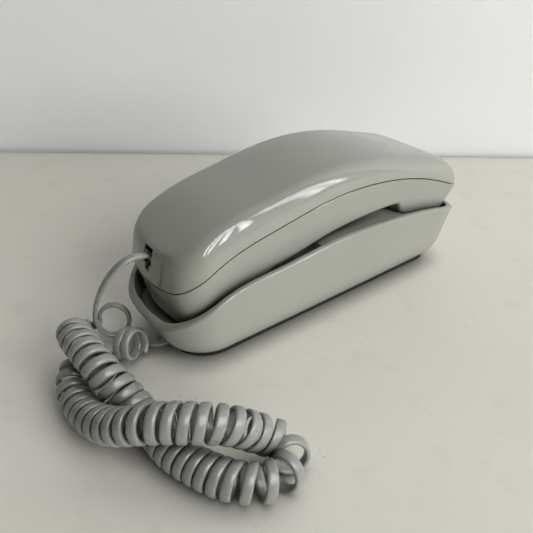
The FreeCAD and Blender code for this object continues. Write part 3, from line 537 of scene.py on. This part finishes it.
def underside_cutters():
    """The window round the dial, the sound holes in both cups and the screws' wells."""
    tools = [cutter("dial_window", (2 * 22.4, 74.0, 20.0), (0, 6.0, 54.0), 1.6)]
    receiver, mouth = middle("receiver_capsule"), middle("transmitter_capsule")
    for i in range(6):
        angle = 2 * math.pi * i / 6
        place = (7 * math.cos(angle), receiver[1] + 7 * math.sin(angle), CUP_LOW)
        tools.append(round_cutter(f"ear_hole_{i}", 1.2, 10, place))
    tools.append(round_cutter("ear_hole_middle", 1.2, 10, (0, receiver[1], CUP_LOW)))
    for i in range(4):
        place = (0, mouth[1] - 7.7 + 6 * i, CUP_LOW)
        tools.append(cutter(f"mouth_slot_{i}", (18, 1.8, 10), place, 0.85))
    for x, y, seat in ((-24.0, 52.5, 55.8), (24.0, 52.5, 55.8), (-23.0, -37.5, 50.8), (23.0, -37.5, 50.8)):
        tools.append(round_cutter(f"screw_well_{x}_{y}", 3.0, 8, (x, y, seat - 4)))
    return tools


def handset_bottom(material):
    def floor_cap(inset):
        def height(x, y, z, edge):
            return z + under_floor(y, inset, abs(x) / max(edge, 0.01)) - under_floor(y, inset)
        return height

    caps = floor_cap(WALL), floor_cap(0.0)
    shell = shell_mesh("handset_lower", lower_rings(), *caps, material, across=44)
    carve(shell, underside_cutters())
    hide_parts("handset_bottom_shell")
    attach(shell, "handset")


# ---- cord -----------------------------------------------------------------------------------------------

CORD_WIDE, CORD_THICK = 5.2, 2.6
COIL_SWING = 8.0
TURN_STEPS = 16

# The route in order from the handset to the base, in millimetres: the leads, and the axis of each coiled
# stretch. The leads' points are followed by the cord's own wide direction there.
UPPER_LEAD = [
    ((0.0, -98.2, 61.4), (1, 0, 0)), ((0.0, -101.6, 62.5), (1, 0, 0)), ((0.4, -106.4, 63.9), (1, 0, 0)),
    ((0.5, -111.2, 63.2), (1, 0, 0)), ((-0.7, -115.8, 60.4), (1, -0.1, 0)),
    ((-3.2, -119.8, 55.6), (1, -0.2, 0)), ((-6.8, -123.5, 48.6), (1, -0.3, 0)),
    ((-10.6, -126.8, 39.6), (1, -0.35, 0)), ((-14.6, -128.8, 29.6), (1, -0.4, 0)),
    ((-19.2, -128.6, 21.0), (1, -0.45, 0)),
]
LOOSE_AXIS = ((-21.4, -118.2, 12.8), (-27.0, -115.4, 11.2))
BRIDGE = [
    ((-34.0, -123.6, 7.0), (-0.5, 0.6, 0.3)), ((-32.0, -133.0, 7.4), (-0.2, 0.4, 0.9)),
    ((-24.4, -138.4, 14.0), (0.5, 0.2, 0.8)),
]
COIL = [
    (-8.4, -143.6, 27.4), (0.6, -145.0, 29.6), (12.6, -144.6, 30.2), (25.6, -143.6, 28.6),
    (37.4, -140.8, 22.6), (50.5, -135.4, 12.6), (64.0, -133.6, 9.6), (80.0, -133.0, 9.6),
    (94.0, -128.4, 9.6), (107.0, -122.0, 9.6), (116.6, -113.6, 9.6), (121.2, -103.6, 9.6),
    (118.6, -93.8, 9.6), (109.8, -89.6, 10.4), (103.2, -94.0, 13.0), (100.8, -101.0, 18.6),
    (99.0, -108.0, 25.4), (95.4, -116.2, 29.8), (90.4, -124.4, 31.2), (83.0, -133.6, 31.2),
    (75.0, -142.0, 28.8), (63.4, -149.8, 21.6), (49.6, -154.4, 14.8), (35.0, -156.4, 10.8),
    (21.8, -156.8, 9.8), (10.6, -155.0, 9.8), (2.6, -149.6, 9.8),
]
LOWER_LEAD = [
    ((-9.0, -141.0, 4.0), (-0.3, 0.6, 0.9)), ((-9.4, -133.0, 2.8), (-0.6, 0.1, 0.9)),
    ((-7.0, -127.0, 2.7), (0.4, 0.1, 0.9)),
]
SLACK_AXIS = ((-2.6, -120.0, 10.6), (4.4, -115.2, 11.6))
TAIL = [
    ((-2.2, -109.8, 3.6), (0.3, 0.6, 0.8)), ((0.6, -105.4, 3.0), (0.6, -0.3, 0.7)),
    ((3.4, -101.6, 4.6), (0.9, -0.3, 0.3)), ((5.4, -98.8, 6.4), (1, 0, 0)), ((6.0, -97.3, 7.3), (1, 0, 0)),
]


def read_route(points, steps):
    """Points along the smooth NURBS line of a route, with steps for each of its control points."""
    curve = bpy.data.curves.new("route", "CURVE")
    curve.dimensions = "3D"
    spline = curve.splines.new("NURBS")
    spline.points.add(len(points) - 1)
    for handle, place in zip(spline.points, points):
        handle.co = (*place, 1.0)
    spline.order_u = 3
    spline.use_endpoint_u = True
    spline.resolution_u = steps
    obj = bpy.data.objects.new("route", curve)
    mesh = bpy.data.meshes.new_from_object(obj)
    line = np.array([v.co[:] for v in mesh.vertices])
    bpy.data.objects.remove(obj)
    bpy.data.curves.remove(curve)
    bpy.data.meshes.remove(mesh)
    return line


def even(line, step, *others):
    """The line at even steps of its own length, and anything given along it at the same places."""
    along = np.concatenate([[0], np.cumsum(np.linalg.norm(np.diff(line, axis=0), axis=1))])
    marks = np.linspace(0, along[-1], int(along[-1] / step) + 1)

    def pick(values):
        return np.stack([np.interp(marks, along, values[:, i]) for i in range(values.shape[1])], axis=1)

    return marks, pick(line), *[pick(o) for o in others]


def unit(vectors):
    return vectors / np.linalg.norm(vectors, axis=-1, keepdims=True)


def straight_turns(axis, swing, first_angle, count):
    """A few left-handed turns round a straight axis: (place, wide direction) pairs."""
    start, end = np.array(axis[0]), np.array(axis[1])
    way = unit(end - start)
    side = unit(np.cross((0, 0, 1), way))
    high = np.cross(way, side)
    total = int(round(count * TURN_STEPS))
    pairs = []
    for i in range(total + 1):
        angle = math.radians(first_angle) - 2 * math.pi * i / TURN_STEPS
        centre = start + (end - start) * i / total
        pairs.append((centre + swing * (side * math.cos(angle) + high * math.sin(angle)), way))
    return pairs


# how far apart the coil's turns are along its axis, by the share of its length: tight at the handset's end,
# open where it doubles back
PITCH = smooth_curve([
    (0.0, 6.3), (0.22, 5.9), (0.40, 6.5), (0.50, 10.0), (0.58, 7.4), (0.70, 6.7), (1.0, 7.4),
])


def at_mark(mark, marks, values):
    return np.array([np.interp(mark, marks, values[:, axis]) for axis in range(3)])


def coil_turns(first_angle):
    """The curly stretch: left-handed turns round the coil's own axis."""
    marks, line = even(read_route(COIL, 24), 0.25)
    way = unit(np.gradient(line, axis=0))
    side = unit(np.cross((0, 0, 1), way))
    high = np.cross(way, side)
    share = marks / marks[-1]
    wander = 1 + 0.05 * np.sin(share * 61.0) + 0.04 * np.sin(share * 137.0 + 1.0)
    turned = np.concatenate([[0], np.cumsum(np.diff(marks) / (PITCH(share[1:]) * wander[1:]))])
    total = int(turned[-1] * TURN_STEPS)
    pairs = []
    for i in range(total + 1):
        mark = np.interp(i / TURN_STEPS, turned, marks)
        centre, ahead, left, top = (at_mark(mark, marks, values) for values in (line, way, side, high))
        angle = math.radians(first_angle) - 2 * math.pi * i / TURN_STEPS
        swing = COIL_SWING * (1 + 0.018 * math.sin(i * 0.061) + 0.012 * math.sin(i * 0.023 + 2.0))
        pairs.append((centre + swing * (left * math.cos(angle) + top * math.sin(angle)), ahead))
    return pairs


def cord_pairs():
    return (
        UPPER_LEAD + straight_turns(LOOSE_AXIS, 9.0, 8.0, 1.06) + BRIDGE + coil_turns(20.0)
        + LOWER_LEAD + straight_turns(SLACK_AXIS, 8.4, -120.0, 1.9) + TAIL
    )


def ribbon(name, line, wide, material, sides=18):
    """A flat oval cord along a line, with its wide way turned as given."""
    ahead = unit(np.gradient(line, axis=0))
    wide = unit(wide - (wide * ahead).sum(axis=1, keepdims=True) * ahead)
    thin = np.cross(ahead, wide)
    angles = 2 * math.pi * np.arange(sides) / sides
    c, s = np.cos(angles), np.sin(angles)
    across = CORD_WIDE / 2 * np.sign(c) * np.abs(c) ** 0.72
    deep = CORD_THICK / 2 * np.sign(s) * np.abs(s) ** 0.80
    rings = line[:, None] + wide[:, None] * across[None, :, None] + thin[:, None] * deep[None, :, None]
    points = rings.reshape(-1, 3)
    faces = []
    for i in range(len(line) - 1):
        for j in range(sides):
            a, b = i * sides + j, i * sides + (j + 1) % sides
            faces.append((a, b, b + sides, a + sides))
    faces.append(tuple(range(sides)))
    faces.append(tuple(range(len(points) - sides, len(points))))
    return mesh_object(name, points * MM, faces, material, smooth_angle=60)


CORD_NODES = [
    "handset_cord_end", "cord_upper_lead", "cord_loose_turn", "cord_bridge", "cord_coil_outward",
    "cord_coil_return", "cord_lower_lead", "cord_slack_turns", "cord_tail",
]


def handset_cord(material):
    pairs = cord_pairs()
    places = np.array([p for p, w in pairs], float)
    wides = unit(np.array([w for p, w in pairs], float))
    line, wide = read_route(places, 3), read_route(wides, 3)
    marks, line, wide = even(line, 0.95, wide)
    piece = ribbon("handset_cord", line, wide, material)
    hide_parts(*CORD_NODES)
    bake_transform(piece)


# ---- materials ------------------------------------------------------------------------------------------

def new_material(name):
    mat = bpy.data.materials.new(name)
    mat.use_nodes = True
    tree = mat.node_tree
    shader = tree.nodes["Principled BSDF"]
    return mat, tree, shader


def noise(tree, scale, detail=4.0, roughness=0.5, vector=None):
    node = tree.nodes.new("ShaderNodeTexNoise")
    node.inputs["Scale"].default_value = scale
    node.inputs["Detail"].default_value = detail
    node.inputs["Roughness"].default_value = roughness
    if vector is not None:
        tree.links.new(vector, node.inputs["Vector"])
    return node.outputs["Fac"]


def object_space(tree):
    return tree.nodes.new("ShaderNodeTexCoord").outputs["Object"]


def band(tree, value, low, high, out_low=0.0, out_high=1.0):
    """Maps a value's range onto another one."""
    node = tree.nodes.new("ShaderNodeMapRange")
    tree.links.new(value, node.inputs["Value"])
    for key, number in zip(("From Min", "From Max", "To Min", "To Max"), (low, high, out_low, out_high)):
        node.inputs[key].default_value = number
    return node.outputs["Result"]


def blend_colours(tree, share, first, second):
    node = tree.nodes.new("ShaderNodeMix")
    node.data_type = "RGBA"
    tree.links.new(share, node.inputs["Factor"])
    for socket, colour in ((node.inputs[6], first), (node.inputs[7], second)):
        if isinstance(colour, tuple):
            socket.default_value = (*colour, 1.0)
        else:
            tree.links.new(colour, socket)
    return node.outputs[2]


def bump(tree, shader, height, strength, distance):
    node = tree.nodes.new("ShaderNodeBump")
    node.inputs["Strength"].default_value = strength
    node.inputs["Distance"].default_value = distance
    tree.links.new(height, node.inputs["Height"])
    tree.links.new(node.outputs["Normal"], shader.inputs["Normal"])


def in_crevices(tree, tone, reach, dark):
    """Paints shade into a colour: darkens it where other surfaces stand close round it, where shade falls."""
    open_share = tree.nodes.new("ShaderNodeAmbientOcclusion")
    open_share.inputs["Distance"].default_value = reach
    open_share.samples = 6
    share = band(tree, open_share.outputs["AO"], 0.15, 0.85)
    return blend_colours(tree, share, dark, tone)


def moulded_plastic(
    name, colour, aged, rough, ripple=0.00002, grain=1400.0, coat=0.0, dust=0.0, dirt=None, painted_shade=None,
):
    """Moulded plastic: uneven colour, faint flow ripple, fine scuffs in its gloss and a little dust.

    The last argument is the reach of the shade painted into its crevices and the colour of that shade.
    """
    mat, tree, shader = new_material(name)
    place = object_space(tree)
    patches = band(tree, noise(tree, 14.0, 5.0, 0.6, place), 0.35, 0.7)
    tone = blend_colours(tree, patches, colour, aged)
    specks = band(tree, noise(tree, 900.0, 2.0, 0.5, place), 0.70, 0.76)
    fine = tree.nodes.new("ShaderNodeMath")
    fine.operation = "MULTIPLY"
    tree.links.new(specks, fine.inputs[0])
    fine.inputs[1].default_value = dust
    tone = blend_colours(tree, fine.outputs[0], tone, tuple(min(1.0, c * 1.7 + 0.05) for c in colour))
    if dirt:
        stains = band(tree, noise(tree, 55.0, 6.0, 0.62, place), 0.60, 0.72, 0.0, 0.75)
        tone = blend_colours(tree, stains, tone, dirt)
    # painted shade: the colour darkens in crevices, where other surfaces stand close
    if painted_shade:
        tone = in_crevices(tree, tone, *painted_shade)
    tree.links.new(tone, shader.inputs["Base Color"])
    scuffs = band(tree, noise(tree, 120.0, 8.0, 0.7, place), 0.35, 0.75, rough * 0.8, rough * 1.5)
    tree.links.new(scuffs, shader.inputs["Roughness"])
    shader.inputs["IOR"].default_value = 1.5
    shader.inputs["Coat Weight"].default_value = coat
    shader.inputs["Coat Roughness"].default_value = 0.04
    bump(tree, shader, noise(tree, grain, 3.0, 0.55, place), 0.35, ripple)
    return mat


def metal(name, colour, rough, stretch=(1.0, 1.0, 1.0)):
    """Plain or brushed metal; stretch draws the brushing out along one axis."""
    mat, tree, shader = new_material(name)
    mapping = tree.nodes.new("ShaderNodeMapping")
    tree.links.new(object_space(tree), mapping.inputs["Vector"])
    mapping.inputs["Scale"].default_value = stretch
    lines = noise(tree, 700.0, 4.0, 0.6, mapping.outputs["Vector"])
    tone = blend_colours(tree, band(tree, lines, 0.3, 0.7), colour, tuple(0.8 * c for c in colour))
    tree.links.new(tone, shader.inputs["Base Color"])
    tree.links.new(band(tree, lines, 0.3, 0.7, rough * 0.7, rough * 1.4), shader.inputs["Roughness"])
    shader.inputs["Metallic"].default_value = 1.0
    bump(tree, shader, lines, 0.3, 0.00003)
    return mat


def clear_plastic(name, colour, rough=0.05):
    mat, tree, shader = new_material(name)
    cloud = noise(tree, 60.0, 3.0, 0.5, object_space(tree))
    tone = blend_colours(tree, cloud, colour, tuple(0.93 * c for c in colour))
    tree.links.new(tone, shader.inputs["Base Color"])
    shader.inputs["Roughness"].default_value = rough
    shader.inputs["Transmission Weight"].default_value = 0.85
    shader.inputs["IOR"].default_value = 1.49
    return mat


def winding(name, colour):
    """Enamelled wire, wound side by side."""
    mat, tree, shader = new_material(name)
    wave = tree.nodes.new("ShaderNodeTexWave")
    tree.links.new(object_space(tree), wave.inputs["Vector"])
    wave.inputs["Scale"].default_value = 900.0
    wave.inputs["Distortion"].default_value = 0.4
    tone = blend_colours(tree, wave.outputs["Fac"], tuple(0.4 * c for c in colour), colour)
    tree.links.new(tone, shader.inputs["Base Color"])
    shader.inputs["Metallic"].default_value = 0.7
    shader.inputs["Roughness"].default_value = 0.3
    bump(tree, shader, wave.outputs["Fac"], 0.6, 0.0001)
    return mat


def circuit_board(name):
    """Solder mask with fine tracks under it."""
    mat, tree, shader = new_material(name)
    cells = tree.nodes.new("ShaderNodeTexVoronoi")
    tree.links.new(object_space(tree), cells.inputs["Vector"])
    cells.inputs["Scale"].default_value = 260.0
    cells.distance = "CHEBYCHEV"
    tracks = band(tree, cells.outputs["Distance"], 0.28, 0.34)
    tone = blend_colours(tree, tracks, (0.03, 0.13, 0.05), (0.05, 0.20, 0.08))
    tree.links.new(tone, shader.inputs["Base Color"])
    shader.inputs["Roughness"].default_value = 0.35
    bump(tree, shader, tracks, 0.5, 0.00005)
    return mat


def make_materials():
    grey, aged = (0.300, 0.300, 0.268), (0.318, 0.315, 0.272)
    return {
        # the shell plastic gets shade painted into its crevices and gaps
        "shell_plastic": moulded_plastic(
            "shell plastic", grey, aged, 0.05, dust=0.35, grain=260.0, painted_shade=(0.007, (0.030, 0.029, 0.025)),
        ),
        "face_plastic": moulded_plastic("face plastic", (0.26, 0.26, 0.23), (0.28, 0.275, 0.24), 0.34),
        "key_plastic": moulded_plastic(
            "key plastic", (0.60, 0.59, 0.53), (0.63, 0.60, 0.50), 0.28, dust=0.3,
        ),
        "black_plastic": moulded_plastic(
            "black plastic", (0.006, 0.006, 0.006), (0.010, 0.010, 0.0095), 0.42, 0.00008,
        ),
        "dark_rubber": moulded_plastic(
            "dark rubber", (0.010, 0.010, 0.010), (0.018, 0.017, 0.016), 0.7, 0.00012,
        ),
        "white_plastic": moulded_plastic("white plastic", (0.66, 0.65, 0.60), (0.70, 0.66, 0.56), 0.35),
        "clear_plastic": clear_plastic("clear plastic", (0.90, 0.92, 0.91)),
        "smoky_plastic": clear_plastic("smoky plastic", (0.03, 0.03, 0.03)),
        # the cord plastic gets shade painted between its turns
        "cord_plastic": moulded_plastic(
            "cord plastic", (0.262, 0.263, 0.250), (0.290, 0.286, 0.262), 0.26, 0.00004, 900.0, dust=0.4,
            dirt=(0.16, 0.13, 0.10), painted_shade=(0.009, (0.010, 0.010, 0.009)),
        ),
        "board": circuit_board("circuit board"),
        "steel": metal("plated steel", (0.60, 0.60, 0.58), 0.28, (1.0, 12.0, 1.0)),
        "contact_brass": metal("contact brass", (0.75, 0.58, 0.28), 0.25),
        "bell_metal": metal("bell metal", (0.70, 0.60, 0.38), 0.18, (1.0, 1.0, 9.0)),
        "coil_winding": winding("coil winding", (0.50, 0.20, 0.07)),
        "capsule_metal": metal("capsule metal", (0.74, 0.74, 0.75), 0.3),
        "card": moulded_plastic("card", (0.82, 0.81, 0.74), (0.86, 0.83, 0.72), 0.8),
        "lamp_glass": clear_plastic("lamp glass", (0.95, 0.88, 0.62), 0.02),
    }


def paint_nodes(materials):
    """Gives every carried-over CAD node the material of its slot; the cord's plugs are smoky."""
    for part in frame["record"]["subparts"]:
        obj = NODES[part["node"]]
        material = materials["smoky_plastic" if part["node"].endswith("_plug") else part["material_slot"]]
        if not obj.material_slots:
            obj.data.materials.append(material)
        for holder in obj.material_slots:
            holder.material = material


# ---- key legends ----------------------------------------------------------------------------------------

LEGENDS = {"star": "*", "hash": "#"}


def key_legends(material):
    """A printed digit on the face of each key, read from below."""
    names = [str(n) for n in range(1, 10)] + ["star", "0", "hash"]
    for name in names:
        low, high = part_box(f"key_{name}")
        text = bpy.data.curves.new(f"legend_{name}", "FONT")
        text.body = LEGENDS.get(name, name)
        text.size = 5.4 * MM
        text.align_x = text.align_y = "CENTER"
        text.extrude = 0.03 * MM
        text.resolution_u = 6
        holder = bpy.data.objects.new(f"legend_{name}", text)
        mesh = bpy.data.meshes.new_from_object(holder)
        bpy.data.objects.remove(holder)
        mesh.materials.clear()
        mesh.materials.append(material)
        centre = (low + high) / 2
        drop = 1.2 * MM if name == "star" else 0.0
        face_down = Matrix(((-1, 0, 0), (0, 1, 0), (0, 0, -1))).to_4x4()
        mesh.transform(Matrix.Translation((centre.x, centre.y - drop, low.z - 0.01 * MM)) @ face_down)
        legend = link(bpy.data.objects.new(f"legend_{name}", mesh))
        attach(legend, f"key_{name}_cap")


# ---- room and light -------------------------------------------------------------------------------------

WALL_POINT, WALL_WAY = Vector((-0.1942, 0.1118, 0.0)), Vector((0.673, 0.740, 0.0)).normalized()


def stage_plane(name, corners, material):
    obj = mesh_object(name, np.array(corners), [(0, 1, 2, 3)], material)
    return obj


def table_material():
    """A pale painted table with faint specks, worn patches and shadow painted where things stand close over
    it.
    """
    mat, tree, shader = new_material("table paint")
    place = object_space(tree)
    broad = band(tree, noise(tree, 5.0, 5.0, 0.55, place), 0.3, 0.7)
    tone = blend_colours(tree, broad, (0.765, 0.738, 0.655), (0.795, 0.768, 0.695))
    blots = band(tree, noise(tree, 36.0, 6.0, 0.6, place), 0.56, 0.76, 0.0, 0.35)
    tone = blend_colours(tree, blots, tone, (0.60, 0.57, 0.49))
    specks = band(tree, noise(tree, 520.0, 3.0, 0.6, place), 0.66, 0.70, 0.0, 0.85)
    patches = band(tree, noise(tree, 24.0, 3.0, 0.6, place), 0.56, 0.66)
    both = tree.nodes.new("ShaderNodeMath")
    both.operation = "MULTIPLY"
    tree.links.new(specks, both.inputs[0])
    tree.links.new(patches, both.inputs[1])
    tone = blend_colours(tree, both.outputs[0], tone, (0.12, 0.11, 0.09))
    # painted shadow: the table darkens where the phone and the cord stand close over it
    tone = in_crevices(tree, tone, 0.016, (0.16, 0.15, 0.13))
    tree.links.new(tone, shader.inputs["Base Color"])
    tree.links.new(band(tree, broad, 0.0, 1.0, 0.42, 0.58), shader.inputs["Roughness"])
    bump(tree, shader, noise(tree, 300.0, 4.0, 0.6, place), 0.3, 0.00006)
    return mat


def wall_material():
    """Painted plaster with a faint roller texture; from behind, the wall is see-through."""
    mat, tree, shader = new_material("wall paint")
    place = object_space(tree)
    broad = band(tree, noise(tree, 6.0, 4.0, 0.5, place), 0.3, 0.7)
    tone = blend_colours(tree, broad, (0.84, 0.842, 0.83), (0.87, 0.873, 0.86))
    tree.links.new(tone, shader.inputs["Base Color"])
    shader.inputs["Roughness"].default_value = 0.75
    bump(tree, shader, noise(tree, 150.0, 5.0, 0.6, place), 0.4, 0.0004)
    open_back = tree.nodes.new("ShaderNodeMixShader")
    side = tree.nodes.new("ShaderNodeNewGeometry")
    tree.links.new(side.outputs["Backfacing"], open_back.inputs["Fac"])
    tree.links.new(shader.outputs["BSDF"], open_back.inputs[1])
    tree.links.new(tree.nodes.new("ShaderNodeBsdfTransparent").outputs["BSDF"], open_back.inputs[2])
    tree.links.new(open_back.outputs["Shader"], tree.nodes["Material Output"].inputs["Surface"])
    return mat


def room():
    """The table and the wall behind it; the table's far edge stands a little off the wall.

    The floor behind the wall only shows in views from there.
    """
    across = WALL_WAY * 3.0
    toward = Vector((WALL_WAY.y, -WALL_WAY.x, 0.0)) * 2.4
    far_left, far_right = WALL_POINT - across, WALL_POINT + across
    paint = table_material()
    stage_plane("table_top", [far_left, far_right, far_right + toward, far_left + toward], paint)
    back = -toward.normalized() * 0.004
    low, high = Vector((0, 0, -0.3)), Vector((0, 0, 2.4))
    rear_left, rear_right = far_left + 2 * back, far_right + 2 * back
    stage_plane("floor_behind", [rear_left, rear_right, rear_right - toward, rear_left - toward], paint)
    left, right = far_left + back, far_right + back
    stage_plane("wall", [left + low, right + low, right + high, left + high], wall_material())


def area_light(name, place, aim, size, power, colour, glossy=True, diffuse=True):
    """A rectangular light, which may be kept out of reflections or only be seen in them."""
    data = bpy.data.lights.new(name, "AREA")
    data.shape = "RECTANGLE"
    data.size, data.size_y = size
    data.energy = power
    data.color = colour
    obj = link(bpy.data.objects.new(name, data))
    way = (Vector(aim) - Vector(place)).normalized()
    obj.matrix_world = Matrix.Translation(place) @ way.to_track_quat("-Z", "Z").to_matrix().to_4x4()
    obj.visible_glossy = glossy
    obj.visible_diffuse = diffuse
    obj.visible_camera = False
    return obj


def towards(bearing, elevation, distance):
    """The point that lies this far from the origin at a compass bearing and an elevation in degrees."""
    az, el = math.radians(bearing), math.radians(elevation)
    return distance * Vector((math.cos(el) * math.sin(az), -math.cos(el) * math.cos(az), math.sin(el)))


PANE_GLOW, PANE_DISTANCE, PANE_SHARE = 9.0, 1.5, 0.93
# name, bearings, elevations, columns and rows of panes
WINDOWS = [("near", (50.0, 109.0), (36.0, 79.0), 4, 8), ("far", (115.0, 131.0), (18.0, 70.0), 2, 9)]


def windows():
    """What the plastic reflects of the two windows: rows of bright panes between dark bars."""
    for name, bearings, elevations, columns, rows in WINDOWS:
        wide, tall = (bearings[1] - bearings[0]) / columns, (elevations[1] - elevations[0]) / rows
        for column in range(columns):
            for row in range(rows):
                elevation = elevations[0] + (row + 0.5) * tall
                place = towards(bearings[0] + (column + 0.5) * wide, elevation, PANE_DISTANCE)
                reach = PANE_DISTANCE * PANE_SHARE
                level_reach = reach * math.cos(math.radians(elevation))
                pane = level_reach * math.radians(wide), reach * math.radians(tall)
                area_light(
                    f"pane_{name}_{column}_{row}", place, (0, 0, 0), pane,
                    PANE_GLOW * math.pi * pane[0] * pane[1], (0.90, 0.95, 1.0), diffuse=False,
                )


def daylight():
    """The soft light that the windows throw on the table from the right."""
    place = towards(102.0, 22.5, 2.8)
    area_light("daylight", place, (0, 0, 0), (2.2, 1.8), 87.0, (0.96, 0.98, 1.0), glossy=False)


def room_glow():
    """A dim room that is brighter and cooler on the windows' side; the camera sees it as plain pale grey."""
    world = bpy.data.worlds.new("room")
    bpy.context.scene.world = world
    world.use_nodes = True
    tree = world.node_tree
    glow = tree.nodes["Background"]
    coordinates = tree.nodes.new("ShaderNodeTexCoord")
    facing = tree.nodes.new("ShaderNodeVectorMath")
    facing.operation = "DOT_PRODUCT"
    tree.links.new(coordinates.outputs["Generated"], facing.inputs[0])
    facing.inputs[1].default_value = towards(105.0, 30.0, 1.0)
    side = band(tree, facing.outputs["Value"], -0.3, 1.0)
    tone = blend_colours(tree, side, (0.10, 0.075, 0.04), (0.75, 0.74, 0.70))
    tree.links.new(tone, glow.inputs["Color"])
    glow.inputs["Strength"].default_value = 0.13
    pale = tree.nodes.new("ShaderNodeBackground")
    pale.inputs["Color"].default_value = (0.60, 0.60, 0.58, 1.0)
    seen = tree.nodes.new("ShaderNodeMixShader")
    tree.links.new(tree.nodes.new("ShaderNodeLightPath").outputs["Is Camera Ray"], seen.inputs["Fac"])
    tree.links.new(glow.outputs["Background"], seen.inputs[1])
    tree.links.new(pale.outputs["Background"], seen.inputs[2])
    tree.links.new(seen.outputs["Shader"], tree.nodes["World Output"].inputs["Surface"])


def plain_colours():
    bpy.context.scene.view_settings.view_transform = "Standard"


# ---- whole ----------------------------------------------------------------------------------------------


place_camera()
plain_colours()
MATERIALS = make_materials()
paint_nodes(MATERIALS)
handset_cord(MATERIALS["cord_plastic"])
base_housing(MATERIALS["shell_plastic"])
handset_top(MATERIALS["shell_plastic"])
handset_bottom(MATERIALS["shell_plastic"])
key_legends(MATERIALS["black_plastic"])
room()
windows()
daylight()
room_glow()
